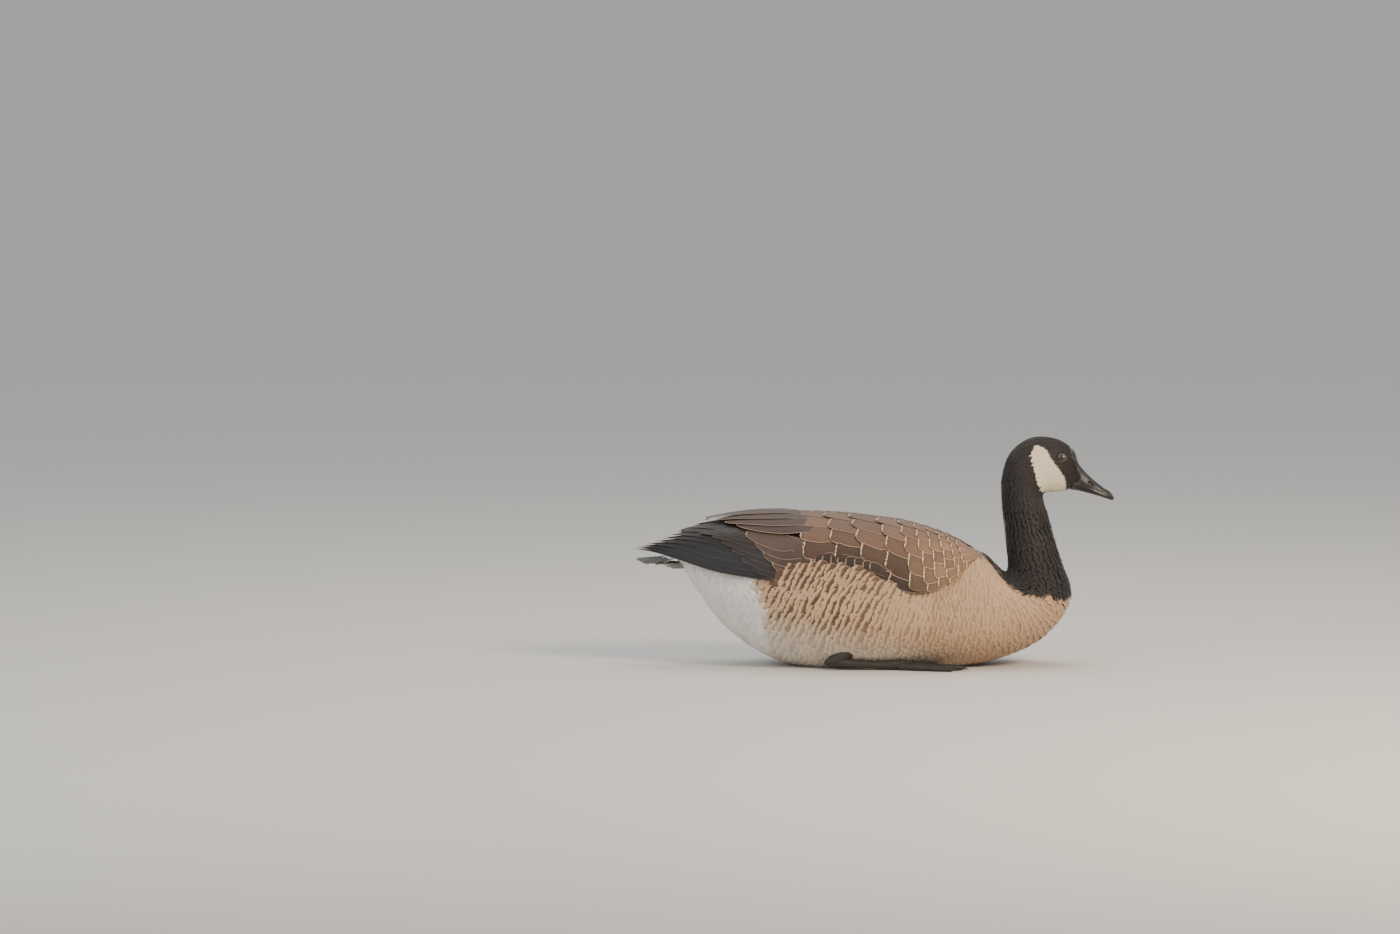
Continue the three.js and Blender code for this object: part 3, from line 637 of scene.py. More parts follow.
def coat_depth(t):
    """Depth of the coat at t, in mm."""
    deep = mix(BODY_DEPTH, NECK_DEPTH, smooth(t, at("breast"), at("low neck")))
    return mix(deep, HEAD_DEPTH, smooth(t, at("top neck"), at("occiput")))


def eye_distance(places):
    """Distance from the axis of the eye, in mm, in the side view."""
    return np.hypot(places[..., 0] - EYE_PLACE[0], places[..., 2] - EYE_PLACE[2])


print("coat over the breast:", BODY_DEPTH, "mm deep")

# %% Surface of the skin
UNDER_HORN = 2.2  # how much deeper the skin lies under the horn of the bill, in mm
SOCKET_DEEP, SOCKET_FLOOR, SOCKET_RIM = 3.4, 3.6, 5.6  # depth, and how far floor and rim lie from the axis
SWELL, SWELL_RADIUS, SWELL_WIDTH = 0.5, 7.2, 1.6  # the low ring round the socket
ON_SIDE = 0.3  # least sideways part of the way out, on the side of the head
SKIN_FLOOR = 0.3  # height of the skin's flat over the floor, in mm


def skin_surface(t, a):
    """The skin: the body's surface, sunk by the depth of the coat and by the eye's socket."""
    place = body(t, a)
    _, _, out = slopes(body, t, a)
    under_bill = smooth(ahead_of_feathers(place), -1.5, 1.5) * (t > at("crown"))
    from_eye = eye_distance(place)
    socket = SOCKET_DEEP * (1 - smooth(from_eye, SOCKET_FLOOR, SOCKET_RIM))
    swell = SWELL * np.exp(-((from_eye - SWELL_RADIUS) / SWELL_WIDTH) ** 2)
    sunk = coat_depth(t) + UNDER_HORN * under_bill + (np.abs(out[..., 1]) > ON_SIDE) * (socket - swell)
    place = place - out * sunk[..., None]
    place[..., 2] = np.maximum(place[..., 2], SKIN_FLOOR)
    return place


# %% Skin with down
def mottled_paint(name, roughness, grain, detail, gain, base, relief_mm, **sockets):
    """The piece's own tint, mottled and slightly raised by a noise with grain cells to the metre."""
    material, tree, shader = paint(name, roughness, **sockets)
    tint = node(tree, "ShaderNodeAttribute", attribute_name="tint")
    where = node(tree, "ShaderNodeTexCoord").outputs["Object"]
    mottle = node(tree, "ShaderNodeTexNoise", {"Vector": where, "Scale": grain, "Detail": detail})
    finish_paint(tree, shader, shaded(tree, tint, mottle, gain, base), mottle, relief_mm)
    return material


# matt down in clumps about 1 mm wide
down = mottled_paint("down and skin", 0.9, 900, 3, 0.7, 0.6, 0.4, Sheen_Weight=0.1)
print("skin material:", down.name)

# %% The skin
SKIN_RINGS, SKIN_ROUND = 560, 150
MAP_PART, MAP_EDGE = 0.98, 0.01  # how much of the bake map the unwrap fills, and its margin
# painted shade: the skin shows only in the gaps between feathers, so it is drawn darker than they are
GAP_PAINTED_SHADE = 0.8  # the skin is this much darker than the feathers over it


def girth_map(t, a):
    """The unwrap of the skin: round the body by angle, along it by t."""
    return np.stack([(a / (2 * np.pi) + 0.5) % 1.0 * MAP_PART + MAP_EDGE, t * MAP_PART + MAP_EDGE], -1)


def make_skin():
    """The skin as one closed mesh, each end closed by a fan, with its unwrap."""
    t = np.concatenate([np.linspace(0, at("top neck"), SKIN_RINGS // 2, endpoint=False),
                        np.linspace(at("top neck"), at("nostril"), SKIN_RINGS // 2)])
    a = np.linspace(-np.pi, np.pi, SKIN_ROUND, endpoint=False)
    tt, aa = np.meshgrid(t, a, indexing="ij")
    points, triangles = closed_loft(skin_surface(tt, aa))
    base, _ = plumage(points, 0.0)
    middles = [[0.5, 0.002], [0.5, 0.998]]
    uv = np.vstack([girth_map(tt, aa).reshape(-1, 2), middles])[triangles]
    wrapped = uv[..., 0].max(1) - uv[..., 0].min(1) > 0.5
    uv[..., 0] = np.where(wrapped[:, None] & (uv[..., 0] < 0.5), uv[..., 0] + MAP_PART, uv[..., 0])
    # the skin's tint is darkened as painted shade for the gaps between feathers
    return mesh_piece("skin", points, triangles, down, "pale_feather", values={"tint": base * GAP_PAINTED_SHADE},
                      corners={"OFBake": uv.reshape(-1, 2)})


skin = make_skin()
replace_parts(skin, "torso", "neck", "head")
print("skin:", len(skin.data.polygons), "triangles")

# %% [markdown]
# ## One feather, then thousands
# A contour feather is a thin curved blade: narrow where it leaves the skin, broad in the middle, worn at the
# tip. Particle hair would be lost on export, so each feather is a closed mesh of a few dozen faces. A blade
# is drawn once as shares along and across it. Then whole arrays of roots lay it on a surface: every point of
# every blade is looked up on the surface itself, so feathers bend with the body and overlap like roof tiles.
# %% One blade
def blade(rows, columns):
    """A closed blade: shares along (s) and across (u) of its points, their side and column, and triangles."""
    line = np.linspace(-1, 1, columns)
    ring_u = np.concatenate([line, line[-2:0:-1]])
    ring_column = np.concatenate([np.arange(columns), np.arange(columns - 2, 0, -1)])
    ring_side = np.concatenate([[0], np.ones(columns - 2), [0], -np.ones(columns - 2)])
    ring = len(ring_u)
    s, u = np.repeat(rows, ring), np.tile(ring_u, len(rows))
    side, column = np.tile(ring_side, len(rows)), np.tile(ring_column, len(rows))
    triangles = halved(grid_faces(len(rows), ring))
    caps = []
    for base in (0, (len(rows) - 1) * ring):
        for k in range(columns - 1):
            low, low_next = base + (ring - k) % ring, base + ring - k - 1
            for corner in ((base + k, base + k + 1, low_next), (base + k, low_next, low)):
                if len(set(corner)) == 3:
                    caps.append(corner)
    triangles = np.vstack([triangles, turned_to_match(triangles, np.array(caps))])
    return s, u, side, column, outward(np.column_stack([s, u, side]), triangles)


def turned_to_match(walls, caps):
    """Caps whose edges run against those of the walls, so that the whole shape has one outside."""
    edges = {(a, b) for tri in walls for a, b in zip(tri, np.roll(tri, -1))}
    return np.array([cap if not any((a, b) in edges for a, b in zip(cap, np.roll(cap, -1))) else cap[::-1]
                     for cap in caps])


def rounded(broad, root, power, tip):
    """Width along a feather: root share, full by broad, round to the tip share. A higher power is squarer."""
    def width(s):
        grow = mix(root, 1, smooth(s, 0, broad))
        fall = (1 - np.clip((s - broad) / (1 - broad), 0, 1) ** power * (1 - tip ** power)) ** (1 / power)
        return grow * fall

    return width


flank_blade = blade(np.array([0, 0.25, 0.5, 0.72, 0.88, 0.96, 1]), 7)
breast_blade = blade(np.array([0, 0.3, 0.6, 0.82, 0.95, 1]), 5)
print("triangles of a flank feather:", len(flank_blade[-1]), "of a breast feather:", len(breast_blade[-1]))

# %% Laying blades on a surface
FLOOR_FILM = 0.15  # the thinnest layer of feather between belly and floor, in mm
PRESSED, DEEPEST = 0.03, 5  # pressed layers keep this share of their spacing, counted from this depth in mm
MIDLINE_GAP = 0.25  # a wing's feathers stop this far short of the other wing's, in mm
SPLIT_WIDTH = 0.022  # half width of a notch in the web, as a share of the feather's length
TIP_THIN = 0.6  # how much thinner the tip is than the root, as a share


def splits(s, u, count, depth, chance):
    """The share of the width left where the web has parted: a notch in each edge at a chance place."""
    kept = np.ones((count, len(s)))
    for edge in (-1, 1):
        spot = mix(0.35, 0.95, chance.random((count, 1)))
        deep = depth * chance.random((count, 1))
        kept *= 1 - deep * np.exp(-((s - spot) / SPLIT_WIDTH) ** 2) * (u * edge > 0.1)
    return kept


def lay(surface, roots, along, across, long, half, form, width, height, thick, ragged, seed, parted=0.0):
    """Blades on a surface. roots, along and across are in its own coordinates, one row a feather, long and
    half are length and half width in mm, form is the blade, width(s) its outline, and height(s, u, n) how far
    out each point lies. thick is in mm. ragged and parted are shares by which tip and web are worn."""
    s, u, side, column, triangles = form
    chance = np.random.default_rng(seed)
    count = len(roots)
    wear = 1 + ragged * (chance.random((count, column.max() + 1))[:, column] - 0.5) * 2 * s ** 3
    w = width(s) * splits(s, u, count, parted, chance)
    p, q = (roots[:, k, None] + along[:, k, None] * s * wear + across[:, k, None] * (u * w) for k in (0, 1))
    place = surface(p, q)
    by_p, by_q, out = slopes(surface, p, q)
    out_by = height(s, u, np.arange(count)[:, None]) + side * thick / 2 * (1 - TIP_THIN * s ** 4)
    points = place + out * out_by[..., None]
    points[..., 2] = np.maximum(points[..., 2], FLOOR_FILM + PRESSED * np.maximum(out_by + DEEPEST, 0))
    if hasattr(surface, "hand"):
        points[..., 1] = surface.hand * np.maximum(surface.hand * points[..., 1], MIDLINE_GAP)
    middle = len(s) // 2
    fore = by_p[:, middle] * along[:, :1] + by_q[:, middle] * along[:, 1:]
    beside = by_p[:, middle] * across[:, :1] + by_q[:, middle] * across[:, 1:]
    left_handed = np.einsum("ij,ij->i", np.cross(fore, beside), out[:, middle]) < 0
    faces = triangles[None] + (np.arange(count) * len(s))[:, None, None]
    faces[left_handed] = faces[left_handed][..., ::-1]
    maps = {
        "vane": np.stack([u * w * half[:, None], s * long[:, None]], -1) / MM_PER_CM,
        "rim": np.stack([(1 - np.abs(u)) * w * half[:, None], (1 - s) * long[:, None]], -1) / MM_PER_CM,
    }
    return {
        "points": points.reshape(-1, 3),
        "faces": faces.reshape(-1, 3),
        "maps": {name: value.reshape(-1, 2) for name, value in maps.items()},
        "size": len(s),
        "patch": np.stack([u, 2 * s - 1], -1),
        "chance": np.repeat(chance.random(count), len(s)),
        "crisp": np.tile((side == 0) | (s == 0) | (s == 1), count),
    }


# %% A tract as one piece
TUFT_PATCH = 0.003  # side of a small feather's patch on the bake map


def feather_piece(name, laid, tint, pale, material, slot, centre, patch=TUFT_PATCH):
    """One object from laid blades, with a colour, an edge colour and a place on the bake map for each."""
    tint, pale = (np.broadcast_to(colour, (len(centre), 3)) for colour in (tint, pale))
    size = laid["size"]
    bake = centre[:, None, :] + laid["patch"][None] * np.asarray(patch) / 2
    values = {"tint": np.repeat(tint, size, 0), "pale": np.repeat(pale, size, 0), "chance": laid["chance"]}
    piece = mesh_piece(name, laid["points"], laid["faces"], material, slot, values=values,
                       maps={**laid["maps"], "OFBake": bake.reshape(-1, 2)}, crisp=laid["crisp"])
    print(name, len(centre), "feathers,", len(laid["faces"]), "triangles")
    return piece


# %% [markdown]
# ## Rows of roots
# Feathers grow in tracts, in staggered rows. Points scattered at random would leave bald spots and clumps,
# so rows are set at a stated pitch along the side of the body and roots at a stated pitch round each row,
# then shifted a little at random. Where the rows crowd together, as in the bend between neck and back, some
# roots are dropped.
# %% Roots in rows
ROW_SAMPLES, RING_SAMPLES = 300, 241  # places at which a tract and a row are measured
MID_HEIGHT = 60  # a leaning row keeps its place at this height, in mm
KEPT_IN_CROWD = (0.3, 1.25)  # the least share of roots kept, and how many are kept for their spacing


def rows_of_roots(surface, start, end, pitch, beside, jitter, seed, lean=0.0):
    """Roots (t, a) in staggered rows from start to end. pitch and beside are the spacings in mm and jitter a
    share of them. lean carries a row towards the bill as it climbs, in mm per mm. Each of these is a number
    or a function of t."""
    chance = np.random.default_rng(seed)
    t = np.linspace(start, end, ROW_SAMPLES)
    pitch, beside, jitter, lean = (
        f(t) if callable(f) else np.full(ROW_SAMPLES, float(f)) for f in (pitch, beside, jitter, lean))
    back_side_belly = np.array([0.02, np.pi / 2, np.pi - 0.02])
    speed = np.linalg.norm(slopes(surface, t[:, None], back_side_belly[None])[0], axis=-1).mean(1)
    steps = speed / pitch
    rows_done = np.concatenate([[0], np.cumsum((steps[1:] + steps[:-1]) / 2 * np.diff(t))])
    rows = np.interp(np.arange(0.5, rows_done[-1]), rows_done, t)
    ring = np.linspace(-np.pi, np.pi, RING_SAMPLES)
    found = []
    for number, row in enumerate(rows):
        places = surface(np.full(RING_SAMPLES, row), ring)
        run = np.concatenate([[0], np.cumsum(np.linalg.norm(np.diff(places, axis=0), axis=1))])
        apart, gap, loose, slant = (np.interp(row, t, f) for f in (beside, pitch, jitter, lean))
        count = max(int(round(run[-1] / apart)), 6)
        spots = (np.arange(count) + 0.5 * (number % 2) + loose * (chance.random(count) - 0.5)) / count
        a = np.interp(spots % 1.0, run / run[-1], ring)
        height = surface(np.full(count, row), a)[:, 2] - MID_HEIGHT
        shift = (loose * gap * (chance.random(count) - 0.5) + slant * height) / np.interp(row, t, speed)
        found.append(np.column_stack([np.clip(row + shift, start, end), a]))
    roots = np.vstack(found)
    local = np.linalg.norm(slopes(surface, roots[:, 0], roots[:, 1])[0], axis=-1)
    room = local / np.interp(roots[:, 0], t, speed)
    least, rate = KEPT_IN_CROWD
    return roots[chance.random(len(roots)) < np.clip(rate * room, least, 1)]


def headed(surface, roots, long, half, lift_angle):
    """The vectors along and across each feather, which lies towards the tail, turned up by lift_angle, in the
    surface's own coordinates. long and half are in mm."""
    by_t, by_a, _ = slopes(surface, roots[:, 0], roots[:, 1])
    back = np.column_stack([-1 / np.linalg.norm(by_t, axis=-1), np.zeros(len(roots))])
    up = np.column_stack([np.zeros(len(roots)), -np.sign(roots[:, 1]) / np.linalg.norm(by_a, axis=-1)])
    cos, sin = np.cos(lift_angle)[:, None], np.sin(lift_angle)[:, None]
    return long[:, None] * (cos * back + sin * up), half[:, None] * (cos * up - sin * back)


# %% [markdown]
# ## Body feathers
# The breast has small soft feathers, the flank broader ones whose tips sweep up and back over the edge of
# the folded wing: their pale tips make its bars. Belly and vent are plain white. One tract covers them all,
# with sizes that change slowly along the body, because separate tracts would show a seam where they meet.
# Roots that the wing hides are left out, and feathers under the belly are pressed flat on the floor.
# %% Sizes along the body
def tile_height(root, middle, tip, cup, loose, seed, count):
    """Heights of a tile-like feather: its root, middle and tip in mm, its sides bent in by cup, and a chance
    lift of the tip up to loose."""
    lifts = np.random.default_rng(seed).random(count) * loose

    def height(s, u, n):
        line = np.interp(s, [0, 0.4, 1], [root, middle, tip])
        return line + lifts[n] * smooth(s, 0.4, 1) - cup * u ** 2 * (0.4 + 0.6 * s)

    return height


def along_body(*pairs):
    """A size along the body as a function of t, from (station, size) pairs."""
    return line_of(*[(at(name), size) for name, size in pairs])


row_pitch = along_body(("tail root", 5), ("vent", 5.8), ("loin", 8), ("back", 8), ("shoulder", 6),
                       ("mantle", 4.8), ("breast", 4), ("neck root", 3))
root_beside = along_body(("tail root", 5.6), ("vent", 6.2), ("loin", 6.6), ("back", 6.6), ("mantle", 5.2),
                         ("breast", 4.3), ("neck root", 3.4))
row_lean = along_body(("tail root", 0), ("vent", 0.1), ("loin", 0.5))
root_jitter = along_body(
    ("tail root", 0.6), ("vent", 0.6), ("loin", 0.22), ("back", 0.22), ("mantle", 0.5), ("neck root", 0.7))
print("rows at the breast are", row_pitch(at("breast")), "mm apart, at the flank", row_pitch(at("back")))

# %% Where body feathers grow
TRACT_START, TRACT_PAST_NECK = 0.004, 0.012  # t of the first row, and how far past the neck root the last is
WING_COVERS = (-165, 102)  # x between which the wing hides the body above the flank line
BACK_COVERS = (30, 150)  # behind this x and above this z the mantle and the wings hide the back


def body_tract():
    """Roots of all body feathers, without those that the wings hide and those of the neck."""
    roots = rows_of_roots(coat, TRACT_START, at("neck root") + TRACT_PAST_NECK, row_pitch, root_beside,
                          root_jitter, 11, row_lean)
    places = coat(*roots.T)
    x, y, z = places.T
    beside_wing = (x > WING_COVERS[0]) & (x < WING_COVERS[1]) & (np.abs(y) > WING_INNER(x) - 3)
    hidden = (z > FLANK_LINE(x) - 1) & beside_wing | (x < BACK_COVERS[0]) & (z > BACK_COVERS[1])
    return roots[~hidden & (on_neck(places) < 0.5)]


body_roots = body_tract()
body_places = coat(*body_roots.T)
bx, by, bz = body_places.T
on_flank = (1 - smooth(bx, 30, 130)) * smooth(bz, 16, 50) * smooth(bx, -108, -92)
chance = np.random.default_rng(5)
body_long = row_pitch(body_roots[:, 0]) * mix(3.5, 3.4, on_flank) * (0.94 + 0.12 * chance.random(len(bx)))
body_half = root_beside(body_roots[:, 0]) * mix(1.25, 1.5, on_flank)
rise_angle = np.radians(mix(8, 30, on_flank) * smooth(np.abs(by), 15, 45) * smooth(bz, 4, 40))
body_tint, body_pale = plumage(body_places, 5 * (chance.random(len(bx)) - 0.5))
barred = on_flank > 0.25
print("body feathers:", len(body_roots), "of them barred:", int(barred.sum()))

# %% Body feathers
LOOKS = {
    # name: (material, blade, cup in mm, chance lift of the tip in mm, outline)
    "soft": (small_feather, breast_blade, 0.4, 0.22, rounded(0.55, 0.45, 2.2, 0.2)),
    "barred": (flank_feather, flank_blade, 0.1, 0.12, rounded(0.7, 0.5, 3.6, 0.5)),
}
PARTS = {
    "breast_feathers": (~barred & (bx >= 100), "soft"),
    "belly_feathers": (~barred & (bx >= -60) & (bx < 100), "soft"),
    "flank_feathers": (barred, "barred"),
    "vent_feathers": (~barred & (bx < -60), "soft"),
}
for title, (chosen, look_name) in PARTS.items():
    material, form, cup, loose, width = LOOKS[look_name]
    for side_name, near in (("left", by >= 0), ("right", by < 0)):
        mine = chosen & near
        roots, long, half = body_roots[mine], body_long[mine], body_half[mine]
        along, across = headed(coat, roots, long, half, rise_angle[mine])
        high = tile_height(-BODY_DEPTH - 0.8, -1.4, -0.3, cup, loose, len(roots), len(roots))
        laid = lay(coat, roots, along, across, long, half, form, width, high, thick=0.12, ragged=0.04,
                   seed=len(roots))
        feather_piece(f"{title}_{side_name}", laid, body_tint[mine], body_pale[mine], material,
                      "pale_feather", girth_map(*roots.T))

# %% [markdown]
# ## Head and neck
# On the neck the feathers are narrow and gather in upright ridges with furrows between, as a goose's do. A
# bump map would give shading but a smooth outline, so each feather is raised and turned by the ridge it
# stands on. On the head they are short and dense as velvet, shortest by the bill, and they leave the eye and
# the bill bare. The white strap comes from the same chart as the skin's.
# %% Ridges of the neck
FURROWS = 30  # ridges round the neck
RIDGE_HIGH = 0.75  # mm


def ridge(t, a):
    """From -1 in a furrow to 1 on a ridge of the neck, wavering as it runs down."""
    waver = 0.5 * np.sin(190 * t + 2 * a) + 0.35 * np.sin(83 * t - 3 * a)
    return np.sin(FURROWS * a + 2.2 * waver)


def furrowed(t):
    """Height of the ridges in mm: full on the neck, fading into the smooth head."""
    rise = smooth(t, at("breast"), at("low neck"))
    return RIDGE_HIGH * rise * (1 - smooth(t, at("mid neck"), at("occiput")))


print("ridges round the neck:", FURROWS)

# %% Where feathers of neck and head grow
EYE_OPENING = 5.3  # bare space round the axis of the eye, in mm
BARE_EDGE = 0.6  # the last roots stand this far behind the edge of the face's feathers, in mm


def neck_tract(start, end, pitch, beside, seed):
    """Roots of neck or head feathers, clear of the bill and of the eye."""
    roots = rows_of_roots(coat, start, end, pitch, beside, 0.7, seed)
    roots = roots[on_neck(coat(*roots.T)) > 0.4]
    places = coat(*roots.T)
    on_face = roots[:, 0] > at("crown")
    bare = (ahead_of_feathers(places) > -BARE_EDGE) & on_face
    allowed = EYE_OPENING + np.where(places[:, 0] > EYE_PLACE[0], 0.2, -0.8)
    open_eye = (eye_distance(places) < allowed) & on_face
    return roots[~(bare | open_eye)]


def clear_of_eye(roots, along):
    """Lengths cut back, as shares, so that no feather lies over the eye."""
    s = np.linspace(0, 1, 14)
    p, q = (roots[:, k, None] + along[:, k, None] * s for k in (0, 1))
    places = body(p, q)
    in_front = (roots[:, :1] > at("crown")) & (places[:, :1, 0] > EYE_PLACE[0] - 1)
    near = (eye_distance(places) < EYE_OPENING) & in_front
    return np.where(near.any(1), np.maximum(s[np.argmax(near, axis=1)] - 0.08, 0.25), 1.0)


# %% Neck feathers
RIDGE_TURN = np.radians(9)  # how far feathers lean to the crest of their ridge
OVER_BREAST = 0.7  # how far the lowest neck feathers lie over those of the breast, in mm


def short_feathers(name, roots, long, half, depth, loose, form, seed):
    """Narrow feathers of neck or head. long, half, depth and the chance lift loose are in mm."""
    places = coat(*roots.T)
    furrow = furrowed(roots[:, 0])
    draw = np.random.default_rng(seed)
    lengths = long * (0.85 + 0.3 * draw.random(len(roots)))
    halves = half * (0.85 + 0.3 * draw.random(len(roots)))
    crest = ridge(roots[:, 0], roots[:, 1])
    turned = RIDGE_TURN * crest + 0.16 * (draw.random(len(roots)) - 0.5)
    along, across = headed(coat, roots, lengths, halves, turned)
    shorter = clear_of_eye(roots, along)
    along, lengths = along * shorter[:, None], lengths * shorter
    lie = tile_height(-depth - 0.5, -depth * 0.5, -0.12, 0.15, loose, seed, len(roots))
    over_breast = OVER_BREAST * (1 - smooth(roots[:, 0], at("neck root"), at("low neck")))

    def height(s, u, n):
        return lie(s, u, n) + (furrow * crest + over_breast)[n] * smooth(s, 0.2, 0.8)

    laid = lay(coat, roots, along, across, lengths, halves, form, rounded(0.45, 0.5, 1.7, 0.1), height,
               thick=0.09, ragged=0.08, seed=seed)
    tint, pale = plumage(places, 3 * (draw.random(len(roots)) - 0.5))
    # painted shade and painted highlight: a feather is drawn darker in a furrow of the neck, lighter on a
    # ridge
    tint = tint * (1 + 0.4 * furrow * crest)[:, None]
    return feather_piece(name, laid, tint, pale, neck_feather, "black_feather", girth_map(*roots.T))


neck_blade = blade(np.array([0, 0.3, 0.65, 0.9, 1]), 3)
low_roots = neck_tract(at("breast") - 0.02, at("top neck"), 2.7, 2.3, 21)
fine = smooth(low_roots[:, 0], at("low neck"), at("top neck"))
short_feathers(
    "neck_feathers", low_roots, mix(11.5, 8.5, fine), mix(2.0, 1.5, fine), NECK_DEPTH, 0.5, neck_blade, 22)

# %% Head feathers
head_blade = blade(np.array([0, 0.4, 0.8, 1]), 3)
nape_roots = neck_tract(at("top neck") - 0.008, at("occiput") + 0.012, 1.9, 1.7, 23)
nape_x, _, nape_z = coat(*nape_roots.T).T
nape_roots = nape_roots[chin_strap(nape_x, nape_z) < 0]
short_feathers("nape_feathers", nape_roots, 8, 1.35, 1.9, 0.35, head_blade, 24)
face_roots = neck_tract(at("occiput"), at("bill root") + 0.03, 1.35, 1.35, 25)
muzzle = smooth(face_roots[:, 0], at("brow"), at("bill root"))
short_feathers("face_feathers", face_roots, mix(4.6, 2.8, muzzle), 0.95, HEAD_DEPTH, 0.14, head_blade, 26)

# %% [markdown]
# ## The folded wing
# At rest the wing shows in tiers: long black primaries at the back, dark secondaries and a brown panel over
# them, long tertials along the ridge, then the scapulars, big squarish feathers that cover the shoulder,
# each with a thin pale edge. They could be placed by hand, but some ninety on each side have to overlap
# cleanly. So all of them lie along one curved sheet, wing(x, v), with v = 0 at the ridge of the back and 1
# at the flank line. Feathers nearer the head and nearer the back lie on top.
# %% The sheet of the wing
SIDES = {"left": 1, "right": -1}
WING_FRONT = 134  # x where the wing begins
V_BEND, V_SPARE = 0.86, 0.16  # past V_BEND the edge of the sheet is squeezed, to end V_SPARE further down


def wing_sheet(side):
    """The surface of one folded wing, side 1 for the bird's left and -1 for its right."""
    def wing(x, v):
        past = np.maximum(v - V_BEND, 0)
        v = np.minimum(v, V_BEND) + V_SPARE * (1 - np.exp(-past / V_SPARE))
        turn = (1 - v) * np.pi / 2
        z = FLANK_LINE(x) + (WING_TOP(x) - FLANK_LINE(x)) * signed_power(np.sin(turn), WING_SQUARE)
        return np.stack([x, wing_half_at(x, v) * side, z], -1)

    wing.hand = side
    return wing


print("the wing is", round(float(WING_TOP(0) - FLANK_LINE(0))), "mm high")

# %% Tools for big feathers
CELL_PART = 0.9  # how much of its cell of the bake map a big feather fills
squarish = rounded(0.62, 0.4, 4.2, 0.5)  # a scapular: full almost to the tip, then square with round corners
pointed = rounded(0.5, 0.6, 1.6, 0.16)  # a flight feather: full for half its length, then bluntly pointed
wing_blade = blade(np.concatenate([np.linspace(0, 0.84, 17), [0.89, 0.93, 0.96, 0.98, 1]]), 11)
print("triangles of a wing feather:", len(wing_blade[-1]))


def fan(count, *corners):
    """Roots and tips (x, v) of a fan of feathers. corners: first root, last root, first tip, last tip."""
    share = np.linspace(0, 1, count)[:, None]
    first_root, last_root, first_tip, last_tip = np.array(corners)
    return mix(first_root, last_root, share), mix(first_tip, last_tip, share)


def atlas(count):
    """Centres and size of one cell of the bake map for each feather."""
    side = math.ceil(math.sqrt(count))
    cell = 1 / side
    k = np.arange(count)
    return np.column_stack([(k % side + 0.5) * cell, (k // side + 0.5) * cell]), (CELL_PART * cell,) * 2


def tier(name, sheet, roots, tips, half, height, width, material, tint, pale, slot, seed, parted=0.3):
    """One tier of a wing: feathers from roots to tips (x, v), with a half width in mm."""
    count = len(roots)
    draw = np.random.default_rng(seed)
    roots = roots + (draw.random((count, 2)) - 0.5) * (5, 0.02)
    tips = tips + (draw.random((count, 2)) - 0.5) * (2.5, 0.015)
    half = np.broadcast_to(half, (count,)) * (0.93 + 0.14 * draw.random(count))
    middle = (roots + tips) / 2
    mm_per_v = np.linalg.norm(slopes(sheet, middle[:, 0], np.clip(middle[:, 1], 0.15, 0.85))[1], axis=-1)
    along = tips - roots
    run = np.column_stack([along[:, 0], along[:, 1] * mm_per_v])
    long = np.linalg.norm(run, axis=1)
    across = np.column_stack([run[:, 1], -run[:, 0]]) / long[:, None] * half[:, None]
    across[:, 1] /= mm_per_v
    laid = lay(sheet, roots, along, across, long, half, wing_blade, width, height, thick=0.35, ragged=0.012,
               seed=seed, parted=parted)
    return feather_piece(name, laid, tint, pale, material, slot, *atlas(count))


def tier_height(base, step, rise, roll, bow=0.0, sunk=3.0):
    """Heights of a tier over its sheet in mm: feather n lies n steps up, climbs by rise to its tip, its lower
    edge stands out by roll, and its middle arches up by bow."""
    def height(s, u, n):
        line = np.interp(s, [0, 0.3, 1], [-sunk, 0, rise])
        arch = bow * 4 * s * (1 - s)
        return base + step * n * smooth(s, 0, 0.3) + line + roll * u * smooth(s, 0.1, 0.5) + arch

    return height


# %% [markdown]
# The scapulars stand in columns whose tips make nearly upright pale lines, wide apart over the wing and
# closer towards the neck, where the feathers get small. Their brown is lighter towards the neck, and darker
# low on the side as painted shade. The x of each column's tips comes from the bird itself, because the eye
# sees at once where a line of pale edges is missing.
# %% Colours of wing and tail
WING_CHART = {name: linear(colour) for name, colour in {
    "primary": "#131011",
    "primary edge": "#54443a",
    "secondary": "#231a16",
    "secondary edge": "#6b5546",
    "panel": "#4c3c32",
    "panel edge": "#a98e74",
    "tertial": "#3f2f26",
    "tertial edge": "#cfae8d",
    "scapular": "#684a36",
    # the scapulars' brown darkened as painted shade, for feathers low on the side of the wing
    "scapular low with painted shade": "#33241b",
    "scapular front": "#8a6a50",
    "scapular edge": "#dcbd9b",
}.items()}
print("paints of wing and tail:", len(WING_CHART))

# %% Scapulars
COLUMN_TIPS = (-74, -42, -12, 18, 42, 59, 73, 85, 96, 106)  # x at the ridge of the back
LAST_GAP = 8  # room of the last column, in mm
COLUMN_SLANT = 15  # how much further forward the tips lie at the flank line than at the ridge, in mm
COLUMN_ROWS, SCAPULAR_HALF, SCAPULAR_LONG = (5, 7), (15.5, 9.5), (58, 26)  # over the wing and at the neck


